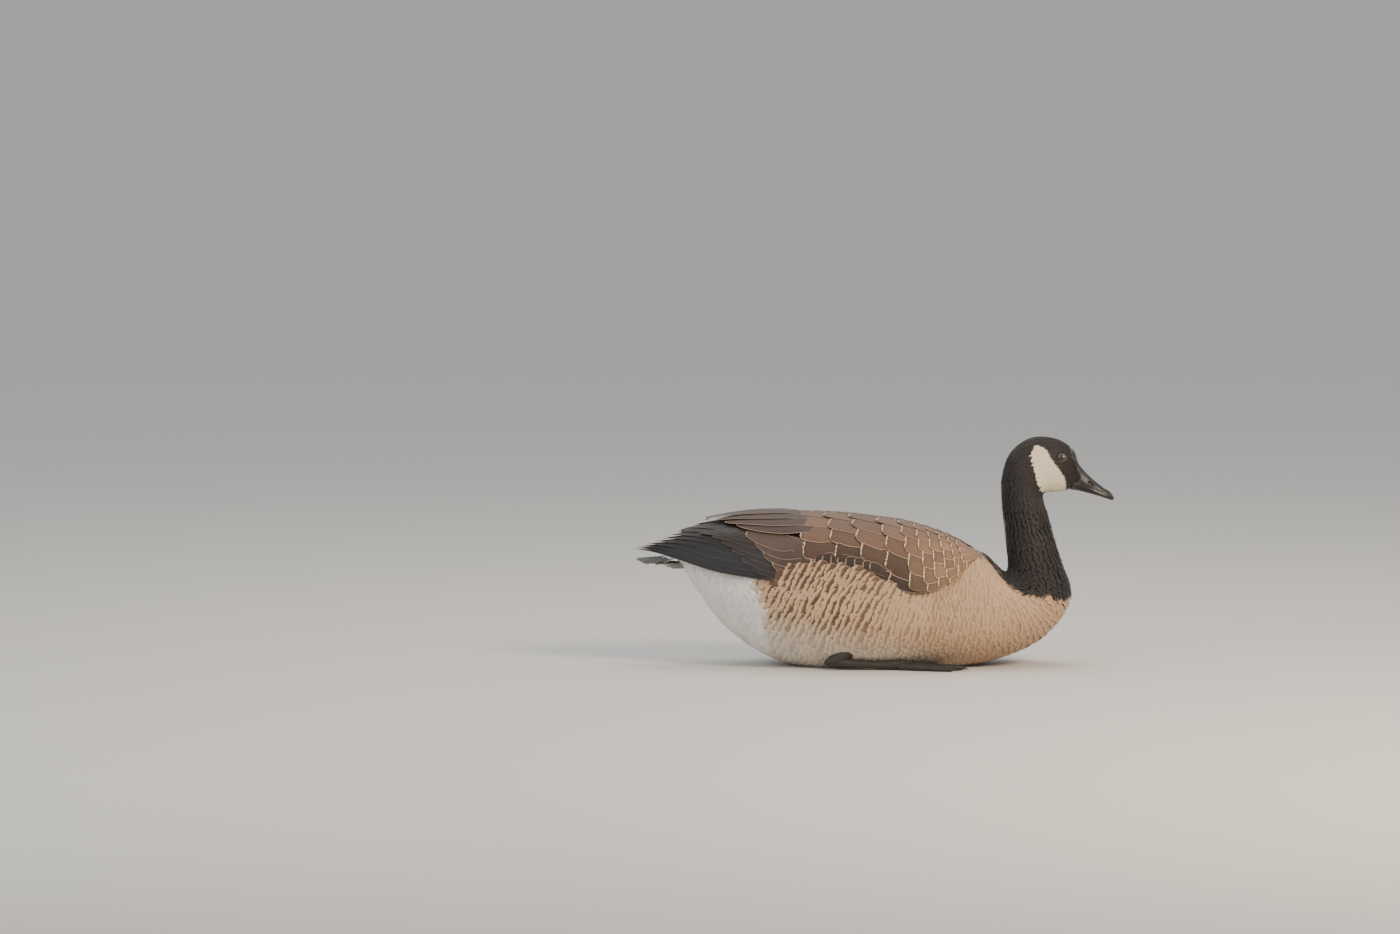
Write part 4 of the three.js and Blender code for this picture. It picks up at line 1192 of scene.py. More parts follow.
def scapular_tract(seed):
    """Roots, tips, half widths and colours of the scapulars."""
    draw = np.random.default_rng(seed)
    tips, sizes = [], []
    for number, x in enumerate(COLUMN_TIPS):
        small = smooth(x, 20, 100)
        rows = int(round(mix(*COLUMN_ROWS, small)))
        gap = (COLUMN_TIPS[number + 1] if number + 1 < len(COLUMN_TIPS) else x + LAST_GAP) - x
        for row in range(rows):
            v = (row + 0.5 + 0.24 * (number % 2) - 0.12) / rows
            tips.append((x + COLUMN_SLANT * v + 0.12 * gap * (draw.random() - 0.5), v))
            sizes.append((mix(*SCAPULAR_HALF, small), mix(*SCAPULAR_LONG, small)))
    tips, sizes = np.array(tips), np.array(sizes)
    lean = mix(0.09, 0.02, smooth(tips[:, 0], 0, 100))
    roots = np.column_stack([np.minimum(tips[:, 0] + sizes[:, 1], WING_FRONT + 2), tips[:, 1] + lean])
    # painted shade: scapulars low on the side of the wing are drawn darker
    brown = mix(WING_CHART["scapular"], WING_CHART["scapular low with painted shade"],
                (smooth(tips[:, 1], 0.3, 0.9) * 0.95)[:, None])
    brown = mix(brown, WING_CHART["scapular front"], (0.9 * smooth(tips[:, 0], 20, 110))[:, None])
    brown = brown * (0.8 + 0.4 * draw.random((len(brown), 1)))
    return roots, tips, sizes[:, 0], brown


# %% Flesh of the wing
CORE_TOP, CORE_LOW = 1.6, (2.4, 7.0)  # depth of its upper face, and of its lower one at the back and in front


def wing_core(side_name, sheet):
    """The flesh of the folded wing under its feathers, a closed shell just below the sheet."""
    x = np.concatenate([np.linspace(WING_FRONT - 2, -150, 60), np.linspace(-152, -206, 14)])
    v = np.linspace(0.02, 0.98, 30)
    xx, vv = np.meshgrid(x, v, indexing="ij")
    out = slopes(sheet, xx, vv)[2]
    top = sheet(xx, vv) - out * CORE_TOP
    low = sheet(xx, vv) - out * mix(*CORE_LOW, smooth(xx, -205, -110))[..., None]
    points = np.concatenate([top, low[:, ::-1]], 1)
    points[..., 1] = sheet.hand * np.maximum(sheet.hand * points[..., 1], MIDLINE_GAP)
    rows, columns = points.shape[:2]
    points = points.reshape(-1, 3)
    walls = halved(grid_faces(rows, columns))
    ends = [(base + k, base + k + 1, base + columns - 2 - k, base + columns - 1 - k)
            for base in (0, (rows - 1) * columns) for k in range(columns // 2 - 1)]
    caps = np.array([t for a, b, c, d in ends for t in ((a, b, c), (a, c, d))])
    triangles = outward(points, np.vstack([walls, turned_to_match(walls, caps)]))
    tint = np.broadcast_to(WING_CHART["secondary"], points.shape)
    core = mesh_piece(
        f"wing_core_{side_name}", points, triangles, down, "brown_feather", values={"tint": tint})
    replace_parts(core, f"wing_{side_name}")


# %% Tiers of both wings
TIERS = {
    # name: (feathers, corners of the fan, half width in mm, height, outline, material, paint, edge paint,
    # slot, step of the seed)
    "primaries": (9, ((-72, 1.0), (-112, 0.5), (-262, 0.86), (-192, 0.2)), 8.5,
        tier_height(-0.5, 0.16, 0.4, 0.5), pointed, flight_feather, "primary", "primary edge",
        "tail_feather", 0),
    "secondaries": (7, ((-30, 1.04), (-64, 0.62), (-112, 0.99), (-182, 0.42)), 10,
        tier_height(0.7, 0.14, 0.7, 0.5), pointed, flight_feather, "secondary", "secondary edge",
        "brown_feather", 10),
    "greater_coverts": (6, ((-22, 1.08), (-46, 0.72), (-80, 1.0), (-131, 0.5)), 10.5,
        tier_height(1.6, 0.12, 0.5, 0.5), rounded(0.6, 0.5, 2.4, 0.2), wing_feather, "panel",
        "panel edge", "brown_feather", 20),
    "tertials": (4, ((-36, 0.46), (-48, 0.08), (-142, 0.36), (-177, 0.09)), 13,
        tier_height(1.6, 0.45, 1.2, 1.1, bow=1.6), rounded(0.5, 0.5, 2.2, 0.2), wing_feather,
        "tertial", "tertial edge", "brown_feather", 30),
    # the lesser coverts lie low on the wing and take the brown darkened as painted shade
    "lesser_coverts": (8, ((-26, 0.86), (34, 0.9), (-54, 0.84), (10, 0.88)), 7.5,
        tier_height(1.6, 0.14, 0.9, 0.5), rounded(0.6, 0.5, 2.6, 0.2), wing_feather,
        "scapular low with painted shade", "panel edge", "brown_feather", 50),
}
SCAPULAR_SEED = 40

for side_name, side in SIDES.items():
    sheet = wing_sheet(side)
    wing_core(side_name, sheet)
    seed = 100 + side
    for title, (count, corners, half, height, width, material, colour, edge, slot, step) in TIERS.items():
        tier(f"{title}_{side_name}", sheet, *fan(count, *corners), half, height, width, material,
             WING_CHART[colour], WING_CHART[edge], slot, seed + step)
    roots, tips, half, brown = scapular_tract(seed + SCAPULAR_SEED)
    tier(f"scapulars_{side_name}", sheet, roots, tips, half, tier_height(0.4, 0, 1.9, 0.7), squarish,
         wing_feather, brown, WING_CHART["scapular edge"], "brown_feather", seed + SCAPULAR_SEED, parted=0.18)

# %% [markdown]
# Between the wings lie the feathers of the mantle. They run down the midline in three or four files, over
# the inner edges of both wings, and are brown with paler tips, darkened by painted shade most towards the
# neck. They get a sheet of their own, since the sheets of the two wings only meet at the ridge.
# %% Mantle
MANTLE_HALF = 9  # how far to the side the mantle reaches past the wings' inner edges, in mm
MANTLE_OVER = 2.4  # how far it lies over the ridge of the wings, in mm
MANTLE_FRONT, MANTLE_BACK = 132.0, -36  # x of the first row, and where the rows end
MANTLE_LONG, MANTLE_WIDE, MANTLE_PITCH = (33, 20), (9.5, 6.5), (13, 6.5)  # in mm, at the back and in front
MANTLE_SEED = 91


def mantle_sheet(x, q):
    """The ridge of the back, q from -1 to 1 across it."""
    wide = WING_INNER(x) + MANTLE_HALF
    drop = 2.2 * np.abs(q) ** 1.5 + smooth(x, 60, 128) * 6 * q ** 2
    return np.stack([x + 0 * q, wide * q, WING_TOP(x) + MANTLE_OVER - drop - 4 * smooth(x, 116, 136)], -1)


def mantle_tract():
    """Roots (x, q) of the mantle, from back to front, with the length and half width of each feather."""
    draw = np.random.default_rng(MANTLE_SEED)
    roots, sizes = [], []
    x = MANTLE_FRONT
    row = 0
    while x > MANTLE_BACK:
        small = smooth(x, -20, 110)
        spots = (-0.62, 0, 0.62) if row % 2 else (-0.95, -0.32, 0.32, 0.95)
        for q in spots:
            roots.append((x + 3 * (draw.random() - 0.5), q + 0.1 * (draw.random() - 0.5)))
            sizes.append((mix(*MANTLE_LONG, small), mix(*MANTLE_WIDE, small)))
        x -= mix(*MANTLE_PITCH, small)
        row += 1
    return np.array(roots)[::-1], np.array(sizes)[::-1]


roots, sizes = mantle_tract()
along = np.column_stack([-sizes[:, 0], -0.12 * roots[:, 1]])
across = np.column_stack([np.zeros(len(roots)), sizes[:, 1] / (WING_INNER(roots[:, 0]) + MANTLE_HALF)])
laid = lay(mantle_sheet, roots, along, across, sizes[:, 0], sizes[:, 1], wing_blade, squarish,
           tier_height(-0.6, 0, 1.3, 0, sunk=3.5), thick=0.3, ragged=0.015, seed=MANTLE_SEED + 1, parted=0.15)
# painted shade: the mantle's dark brown is full towards the neck and lightened towards the back
shade = smooth(roots[:, 0], 70, 130)[:, None]
brown = mix(CHART["mantle"], WING_CHART["scapular front"] * 0.8, 0.35 * (1 - shade))
feather_piece(
    "mantle_feathers", laid, brown, CHART["mantle tip"], wing_feather, "brown_feather", *atlas(len(roots)))

# %% [markdown]
# ## Tail
# Eighteen black tail feathers spread from the root of the tail, the middle pair on top. White coverts cover
# their roots from above and, much longer, from below. One fan-shaped sheet serves them all, lifted or
# lowered for each row, so that the rows open with the tail.
# %% The sheet of the tail
TAIL_ROOT, TAIL_LONG, TAIL_HALF_ROOT = -209, 47.5, 13  # x of the root, length and half width there, in mm
TAIL_FAN = 0.4  # how far the outermost feather turns aside, in radians
TAIL_MIDDLE, TAIL_FALL, TAIL_ARCH = 124, 0.06, 4.5  # z at the root, its fall per mm, and droop of the sides


def tail_sheet(over=0.0, slope=0.0):
    """The fan of the tail: p mm behind the root, q from -1 on the right to 1 on the left. over lifts it, and
    slope lets it meet the tail feathers further back."""
    def tail(p, q):
        turn = TAIL_FAN * q
        x = TAIL_ROOT - p * np.cos(turn)
        y = TAIL_HALF_ROOT * q + p * np.sin(turn)
        arch = TAIL_ARCH * q ** 2 * (0.4 + 0.6 * np.clip(p / TAIL_LONG, 0, 1))
        z = TAIL_MIDDLE - TAIL_FALL * p - arch + over + slope * p
        return np.stack([x, y, z], -1)

    return tail


def stacked(step, q):
    """Heights of a row at places q: each feather lies lower than the next inner one, its outer edge most."""
    def height(s, u, n):
        return -step * np.abs(q[n]) * 8 - 0.25 * u * np.sign(q[n]) * smooth(s, 0, 0.4)

    return height


def tail_row(name, sheet, count, start, long, half, step, material, tint, pale, slot, seed):
    """A row of feathers across the fan, with roots at start and a length and half width in mm."""
    q = np.linspace(-1, 1, count)
    roots = np.column_stack([np.full(count, start, float), q])
    lengths = long * (1 - 0.09 * q ** 2)
    spread = TAIL_HALF_ROOT + TAIL_FAN * (start + long * 0.6)
    along = np.column_stack([lengths, np.zeros(count)])
    across = np.column_stack([np.zeros(count), np.full(count, half / spread)])
    laid = lay(sheet, roots, along, across, lengths, np.full(count, half), wing_blade,
               rounded(0.6, 0.6, 2.6, 0.25), stacked(step, q), thick=0.35, ragged=0.02, seed=seed, parted=0.2)
    return feather_piece(name, laid, tint, pale, material, slot, *atlas(count))


# %% Tail feathers and their coverts
COVERTS = {
    # name: (height of the first row over the tail, its change to the next, slope, half width, seed,
    # (start, length) of each row), in mm
    "upper": (6.5, -1.4, -0.17, 6, 70, ((-16, 26), (-10, 26), (-4, 26))),
    "under": (-8.5, 1.5, 0.13, 7, 80, ((-20, 34), (-13, 36), (-6, 38))),
}
tail_feathers = tail_row("tail_feathers", tail_sheet(), 18, 0, TAIL_LONG, 6.3, 0.36, flight_feather,
                         WING_CHART["primary"], WING_CHART["primary edge"], "tail_feather", 61)
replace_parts(tail_feathers, "tail")
for place, (over, change, slope, half, seed, rows) in COVERTS.items():
    for number, (start, long) in enumerate(rows):
        tail_row(f"{place}_tail_coverts_{number + 1}", tail_sheet(over + change * number, slope), 9 - number,
                 start, long, half, 0.1, small_feather, CHART["vent"], CHART["vent"], "pale_feather",
                 seed + number)

# %% [markdown]
# ## Bill
# The bill is two sheaths of black horn that meet along the gape. The upper one has an oval nostril in a
# shallow groove, a rounded cutting edge that overlaps the lower one, and a hard nail at its tip. Both begin
# a few millimetres behind the edge of the face's feathers and sink under them. The outside of each is the
# body's own surface between two lines of the mouth, moved in or out by its relief, because cutting one loft
# along the gape keeps both halves in one flow with the face.
# %% Horn
RUBBED = 130  # noise cells per metre, so that rubbed places are some 8 mm apart
HORN_ROUGHNESS = (-0.08, 0.22)  # how the growth lines change the roughness: from, and by how much


def horn_paint(name, chart_colour, worn_colour, roughness, grain, relief_mm):
    """Keratin sheath: dark, half glossy, with growth lines, grain to the metre, and paler rubbed places."""
    material, tree, shader = paint(name, roughness)
    where = node(tree, "ShaderNodeTexCoord").outputs["Object"]
    wear = node(
        tree, "ShaderNodeTexNoise", {"Vector": where, "Scale": RUBBED, "Detail": 4, "Roughness": 0.65})
    lines = node(tree, "ShaderNodeTexNoise", {"Vector": where, "Scale": grain, "Detail": 3})
    share = node(
        tree, "ShaderNodeMapRange", {"Value": wear, "From Min": 0.46, "From Max": 0.72, "To Max": 0.55})
    colour = node(tree, "ShaderNodeMixRGB", {"Fac": share, "Color1": (*linear(chart_colour), 1),
                                             "Color2": (*linear(worn_colour), 1)})
    rough = node(tree, "ShaderNodeMath", {0: lines, 1: HORN_ROUGHNESS[1], 2: roughness + HORN_ROUGHNESS[0]},
                 operation="MULTIPLY_ADD")
    tree.links.new(rough.outputs[0], shader.inputs["Roughness"])
    finish_paint(tree, shader, colour, lines, relief_mm)
    return material


bill_horn = horn_paint("black bill horn", "#1c1a19", "#4b4743", 0.36, 900, 0.12)
claw_horn = horn_paint("claw horn", "#171514", "#3b3733", 0.34, 1400, 0.1)
print("horn:", bill_horn.name, "and", claw_horn.name)

# %% The line of the mouth
GAPE = line_of((240, 210.5), (247, 207.4), (255, 205), (265, 201.8), (276, 198), (286, 193.6), (292, 190.8))
bill_t = np.linspace(at("crown") + 0.02, 1, 500)


def gape_angle(t):
    """The angle at which the slice at t meets the line of the mouth."""
    a = np.linspace(0.15, np.pi - 0.1, 300)
    places = body(t[:, None], a[None])
    over = places[..., 2] - GAPE(places[..., 0])
    k = np.argmax(over < 0, axis=1)
    row = np.arange(len(t))
    before, after = over[row, k - 1], over[row, k]
    return mix(a[k - 1], a[k], before / (before - after))


gape_at = gape_angle(bill_t)
print("slices at the mouth:", len(gape_at))

# %% Relief of the bill
NOSTRIL = {"x": 265.4, "z": 209.6, "long": 4.4, "tall": 1.7, "slope": 0.7}  # half sizes, slope in radians
NOSTRIL_DEEP, GROOVE_DEEP, SIDE_GROOVE_DEEP = 2.4, 0.5, 0.4  # mm
NAIL_EDGE, NAIL_HIGH, LIP_HIGH = 282.5, 0.35, 0.4  # x of the nail's edge, and heights in mm


def bulge(value, width):
    """A soft ridge, 1 where the value is 0."""
    return np.exp(-(value / width) ** 2)


def upper_relief(places, u):
    """How far the upper bill stands out of the plain form, in mm."""
    x, y, z = np.moveaxis(places, -1, 0)
    dx, dz = x - NOSTRIL["x"], z - NOSTRIL["z"]
    slope = NOSTRIL["slope"]
    ahead = dx * math.cos(slope) - dz * math.sin(slope)
    above = dx * math.sin(slope) + dz * math.cos(slope)
    from_nostril = np.hypot(ahead / NOSTRIL["long"], above / NOSTRIL["tall"])
    on_side = smooth(np.abs(y), 3, 5)
    hollow = -NOSTRIL_DEEP * (1 - smooth(from_nostril, 0.5, 1.0)) + 0.3 * bulge(from_nostril - 1.2, 0.2)
    groove = -GROOVE_DEEP * bulge(above + 0.6, 1.7) * smooth(np.abs(ahead), 3, 5) * (1 - smooth(ahead, 8, 13))
    past_nail = x - NAIL_EDGE - 0.1 * y ** 2
    nail = NAIL_HIGH * smooth(past_nail, 0, 1) - NAIL_HIGH * bulge(past_nail + 0.2, 0.35)
    lip = LIP_HIGH * bulge(1 - np.abs(u), 0.05) - 0.35 * bulge(0.85 - np.abs(u), 0.05)
    return on_side * (hollow + groove) + nail + lip


def lower_relief(places, u):
    """The lower bill is a little narrower and has a long groove on each side."""
    return -0.75 * smooth(np.abs(u), 0.75, 0.95) - SIDE_GROOVE_DEEP * bulge(np.abs(u) - 0.5, 0.06)


# %% Upper and lower bill
UNDER_FEATHERS = 4  # how far the horn runs on under the feathers, in mm
HORN_SUNK = 1.5  # and how deep it lies there
MOUTH_ROOM = 0.012  # half the angle that stays open between the halves
BILL_ROWS, BILL_COLUMNS, MOUTH_COLUMNS = 150, 110, 14


def bill_half(name, top, relief):
    """One sheath: its outside between the two lines of the mouth, closed by the mouth's roof or floor."""
    u = np.linspace(-1, 1, BILL_COLUMNS)

    def angle(t, u):
        gape = np.interp(t, bill_t, gape_at)
        return u * (gape - MOUTH_ROOM) if top else np.pi + u * (np.pi - gape - MOUTH_ROOM)

    places = body(bill_t[:, None], angle(bill_t[:, None], u[None]))
    start = bill_t[np.argmax(ahead_of_feathers(places) > -UNDER_FEATHERS, axis=0)]
    r = np.linspace(0, 1, BILL_ROWS)[:, None]
    t = mix(start[None], 1, r)
    a = angle(t, u[None])
    place = body(t, a)
    _, _, out = slopes(body, np.minimum(t, 0.9995), a)
    sunk = HORN_SUNK * (1 - smooth(ahead_of_feathers(place), -1.6, 0.4))
    outside = place + out * (relief(place, u[None]) - sunk)[..., None]
    w = np.linspace(1, 0, MOUTH_COLUMNS + 2)[1:-1, None]
    inside = mix(outside[:, :1], outside[:, -1:], w)
    inside[..., 2] += (0.8 if top else -0.8) * (4 * w * (1 - w))[None, :, 0]
    rings = np.concatenate([outside, inside], 1)
    middle = rings[-1].mean(0)
    tip = [middle + (rings[-1] - middle) * share + (ahead_by, 0, -0.5 * ahead_by)
           for share, ahead_by in ((0.88, 0.45), (0.6, 0.8), (0.25, 0.95))]
    rings = np.concatenate([rings, np.array(tip)])
    return mesh_piece(name, *closed_loft(rings), bill_horn, "bill_horn")


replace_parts(bill_half("upper_bill", True, upper_relief), "bill_upper")
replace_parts(bill_half("lower_bill", False, lower_relief), "bill_lower")
print("bill from x =", STATIONS["bill root"][0], "to", STATIONS["bill tip"][0], "mm")

# %% [markdown]
# ## Plates in a row
# A comb of small ridges, the lamellae, lines the gape, and a row of broad scutes covers the top of each toe.
# Both are one repeat, so one node group makes them: it spaces plates along a line, turns each with the line,
# sizes it by the width stored there and varies it a little from a fixed seed.
# %% Node group for plates along a line
PLATE_DEFAULTS = {"Spacing": 0.001, "Length": 0.001, "Width": 1.0, "Height": 0.0005, "Variation": 0.12}


def plates_group(material):
    """Flattened balls along lines. Spacing, Length and Height are in metres, Width and Variation shares."""
    group = bpy.data.node_groups.new("plates along a line", "GeometryNodeTree")
    face = group.interface
    face.new_socket("Geometry", in_out="INPUT", socket_type="NodeSocketGeometry")
    for title, value in PLATE_DEFAULTS.items():
        face.new_socket(title, in_out="INPUT", socket_type="NodeSocketFloat").default_value = value
    face.new_socket("Seed", in_out="INPUT", socket_type="NodeSocketInt").default_value = 7
    face.new_socket("Geometry", in_out="OUTPUT", socket_type="NodeSocketGeometry")
    entry = group.nodes.new("NodeGroupInput").outputs
    line = node(group, "GeometryNodeMeshToCurve", {"Mesh": entry["Geometry"]})
    spaced = node(
        group, "GeometryNodeResampleCurve", {"Curve": line, "Length": entry["Spacing"]}, mode="LENGTH")
    tangent = node(group, "GeometryNodeInputTangent")
    turn = node(group, "FunctionNodeAlignRotationToVector", {"Vector": tangent}, axis="X", pivot_axis="AUTO")
    broad = node(group, "GeometryNodeInputNamedAttribute", {"Name": "broad"}, data_type="FLOAT")
    low = node(group, "ShaderNodeMath", {0: 1.0, 1: entry["Variation"]}, operation="SUBTRACT")
    high = node(group, "ShaderNodeMath", {0: 1.0, 1: entry["Variation"]}, operation="ADD")
    # the float inputs of this node are sockets 2 and 3, and its float output is socket 1
    chance = node(
        group, "FunctionNodeRandomValue", {2: low, 3: high, "Seed": entry["Seed"]}, data_type="FLOAT")
    wide = node(group, "ShaderNodeMath", {0: broad, 1: entry["Width"]}, operation="MULTIPLY")
    varied = node(group, "ShaderNodeMath", {0: wide, 1: chance.outputs[1]}, operation="MULTIPLY")
    size = node(group, "ShaderNodeCombineXYZ", {"X": entry["Length"], "Y": varied, "Z": entry["Height"]})
    plate = node(group, "GeometryNodeMeshUVSphere", {"Segments": 12, "Rings": 6, "Radius": 1.0})
    placed = node(group, "GeometryNodeInstanceOnPoints",
                  {"Points": spaced, "Instance": plate, "Rotation": turn, "Scale": size})
    real = node(group, "GeometryNodeRealizeInstances", {"Geometry": placed})
    rounded_off = node(group, "GeometryNodeSetShadeSmooth", {"Geometry": real})
    painted = node(group, "GeometryNodeSetMaterial", {"Geometry": rounded_off, "Material": material})
    node(group, "NodeGroupOutput", {"Geometry": painted})
    return group


# %% Plates as a piece
def plates(name, lines, group, slot, **settings):
    """Plates along several lines of points (x, y, z, half width in mm) as one piece."""
    points = np.vstack(lines)
    edges, start = [], 0
    for line in lines:
        edges += [(start + k, start + k + 1) for k in range(len(line) - 1)]
        start += len(line)
    mesh = bpy.data.meshes.new(name + "_lines")
    mesh.from_pydata((points[:, :3] * MM).tolist(), edges, [])
    widths = (points[:, 3] * MM).astype(np.float32)
    mesh.attributes.new("broad", "FLOAT", "POINT").data.foreach_set("value", widths)
    holder = in_scene(name, mesh)
    modifier = holder.modifiers.new("plates", "NODES")
    modifier.node_group = group
    sockets = {item.name: item.identifier for item in group.interface.items_tree if item.in_out == "INPUT"}
    for title, value in settings.items():
        modifier[sockets[title]] = value
    holder.update_tag()
    graph = bpy.context.evaluated_depsgraph_get()
    graph.update()
    made = bpy.data.meshes.new_from_object(holder.evaluated_get(graph))
    made.materials.pop(index=0)  # the empty slot of the bare lines
    holder.modifiers.remove(modifier)
    holder.data = made
    made.name = name
    bpy.data.meshes.remove(mesh)
    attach(holder, "root")
    print(name, len(made.polygons), "faces")
    return holder


# %% Lamellae along the gape
COMB_IN, COMB_DOWN, COMB_HALF = 1.5, 0.15, 0.9  # mm inside the bill's side and under the gape, and half width


def gape_line(side):
    """Points just inside the edge of the upper bill, on one side."""
    t = np.linspace(at("lore"), at("nail"), 80)
    place = body(t, np.interp(t, bill_t, gape_at) * side)
    place = place[ahead_of_feathers(place) > 1.5]
    place -= (0, side * COMB_IN, COMB_DOWN)
    return np.column_stack([place, np.full(len(place), COMB_HALF)])


plates("lamellae", [gape_line(side) for side in SIDES.values()], plates_group(bill_horn), "bill_horn",
       Spacing=0.95 * MM, Length=0.33 * MM, Height=0.85 * MM)

# %% [markdown]
# ## Eyes
# The eye is a wet ball, almost all of it dark brown iris and black pupil, deep in a socket. A lid with a
# pale bare rim and fine folds lies round it on the ball and runs under the feathers. Iris and pupil are
# painted by their distance from the eye's axis, so that no image is needed, and the gloss of the tear film
# is a clear coat.
# %% Materials of the eye
IRIS_STOPS = [(0.0, "#040303"), (0.33, "#040303"), (0.37, "#22140b"), (0.52, "#352012"), (0.6, "#1c110a"),
              (0.68, "#0d0907")]  # colours by the distance from the axis, as a share of the ball's radius
IRIS_SPOKES = 5  # noise cells round the iris, per radian


def eye_paint():
    """Iris and pupil by the distance from the axis of the eye, under a clear wet coat."""
    material, tree, shader = paint("wet eye", 0.25, Coat_Weight=1.0, Coat_Roughness=0.03, Coat_IOR=1.45)
    where = node(tree, "ShaderNodeSeparateXYZ", {0: node(tree, "ShaderNodeTexCoord").outputs["Object"]})
    dx = node(tree, "ShaderNodeMath", {0: where.outputs["X"], 1: EYE_PLACE[0] * MM}, operation="SUBTRACT")
    dz = node(tree, "ShaderNodeMath", {0: where.outputs["Z"], 1: EYE_PLACE[2] * MM}, operation="SUBTRACT")
    square = node(tree, "ShaderNodeMath", {0: dz, 1: dz}, operation="MULTIPLY")
    sum_of_squares = node(tree, "ShaderNodeMath", {0: dx, 1: dx, 2: square}, operation="MULTIPLY_ADD")
    metres = node(tree, "ShaderNodeMath", {0: sum_of_squares}, operation="SQRT")
    off = node(tree, "ShaderNodeMath", {0: metres, 1: MM}, operation="DIVIDE")
    angle = node(tree, "ShaderNodeMath", {0: dz, 1: dx}, operation="ARCTAN2")
    round_it = node(tree, "ShaderNodeMath", {0: angle, 1: IRIS_SPOKES}, operation="MULTIPLY")
    outwards = node(tree, "ShaderNodeMath", {0: off, 1: 0.5}, operation="MULTIPLY")
    polar = node(tree, "ShaderNodeCombineXYZ", {"X": round_it, "Y": outwards})
    spokes = node(tree, "ShaderNodeTexNoise", {"Vector": polar, "Scale": 3, "Detail": 2})
    share = node(tree, "ShaderNodeMath", {0: off, 1: EYE_RADIUS}, operation="DIVIDE")
    ramp = node(tree, "ShaderNodeValToRGB", {"Fac": share})
    while len(ramp.color_ramp.elements) < len(IRIS_STOPS):
        ramp.color_ramp.elements.new(0.5)
    for element, (place, chart_colour) in zip(ramp.color_ramp.elements, IRIS_STOPS):
        element.position = place
        element.color = (*linear(chart_colour), 1)
    tree.links.new(shaded(tree, ramp, spokes, 1.1, 0.45).outputs[0], shader.inputs["Base Color"])
    return material


wet_eye = eye_paint()
bare_lid = mottled_paint("bare eyelid", 0.5, 1600, 2, 0.6, 0.7, 0.1)  # fine grain, as of bare skin
print("eye materials:", wet_eye.name, "and", bare_lid.name)


# %% Width of the head at the eye
def head_side():
    """The head's half width near the eye, as a function of the offset (dx, dz) from it: a fitted quadric."""
    t, a = np.meshgrid(np.linspace(at("crown"), at("bill root"), 160), np.linspace(0.3, 2.6, 160))
    places = body(t, a).reshape(-1, 3)
    near = places[eye_distance(places) < 10] - (EYE_PLACE[0], 0, EYE_PLACE[2])

    def terms(dx, dz):
        return np.stack([np.ones_like(dx), dx, dz, dx * dx, dx * dz, dz * dz], -1)

    fit = np.linalg.lstsq(terms(near[:, 0], near[:, 2]), near[:, 1], rcond=None)[0]
    return lambda dx, dz: terms(dx, dz) @ fit


half_width_at = head_side()
print("half width at the eye", round(float(half_width_at(np.zeros(1), np.zeros(1))[0]), 1), "mm")

# %% Eyes and lids
LID_RIM, LID_REACH = 4.25, 6.9  # from the eye's axis to the lid's free edge and to its edge under feathers
LID_SUNK = 1.1  # how deep that edge lies under the side of the head, in mm
LID_THICK = 0.8
RIM_HIGH, FOLD_HIGH, ALMOND = 0.5, 0.16, 0.09  # heights in mm, and how much lower than wide the opening is


def eyeball(name, side):
    """The ball of the eye, its poles on its axis."""
    lat = np.linspace(0.02, np.pi - 0.02, 40)[:, None]
    turn = np.linspace(0, 2 * np.pi, 64, endpoint=False)[None]
    rings = np.stack([np.sin(lat) * np.cos(turn), np.cos(lat) + 0 * turn, np.sin(lat) * np.sin(turn)], -1)
    return mesh_piece(name, *joined([closed_loft(rings * EYE_RADIUS + EYE_PLACE)], side), wet_eye, "eye")


def lid(name, side):
    """The ring of the lids: from its free edge on the ball, over a round rim, out and under the feathers."""
    turn = np.linspace(0, 2 * np.pi, 96, endpoint=False)
    share = np.linspace(0, 1, 22)
    far = mix(LID_RIM, LID_REACH, share)[None] * np.ones((96, 1))
    almond = 1 - ALMOND * np.sin(turn[:, None]) ** 2
    dx, dz = far * np.cos(turn)[:, None], far * np.sin(turn)[:, None] * almond
    on_ball = EYE_PLACE[1] + np.sqrt(np.maximum((EYE_RADIUS + 0.1) ** 2 - dx ** 2 - dz ** 2, 0))
    under = half_width_at(dx, dz) - LID_SUNK
    y = mix(on_ball, under, smooth(share, 0.28, 0.95)[None])
    rim = RIM_HIGH * np.sin(np.pi * np.clip(share / 0.36, 0, 1)) ** 0.7
    wavy = np.sin(share * 19 + 0.6 * np.sin(3 * turn[:, None]))
    folds = FOLD_HIGH * wavy * smooth(share, 0.2, 0.4) * (share < 0.95)
    y = y + rim[None] + folds
    top = np.stack([EYE_PLACE[0] + dx, y, EYE_PLACE[2] + dz], -1)
    low = top - (0, LID_THICK, 0)
    low[:, 0] = top[:, 0] - (0, 0.25, 0)
    loops = np.concatenate([top, low[:, ::-1]], 1)
    rows, columns = loops.shape[:2]
    ring = (loops.reshape(-1, 3), halved(grid_faces(rows + 1, columns) % (rows * columns)))
    uneven = 0.62 + 0.38 * np.sin(2 * turn + 0.7) * np.sin(5 * turn) + 0.1 * np.cos(turn)
    pale_rim = (1 - smooth(share, 0.14, 0.42))[None] * np.clip(uneven, 0.45, 1)[:, None]
    pale_rim = np.concatenate([pale_rim, pale_rim[:, ::-1]], 1).ravel()
    tint = mix(linear("#241c18"), linear("#9c8d7c"), pale_rim[:, None])
    return mesh_piece(name, *joined([ring], side), bare_lid, "black_feather", values={"tint": tint})


for side_name, side in SIDES.items():
    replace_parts(eyeball(f"eyeball_{side_name}", side), f"eye_{side_name}")
    lid(f"eyelids_{side_name}", side)

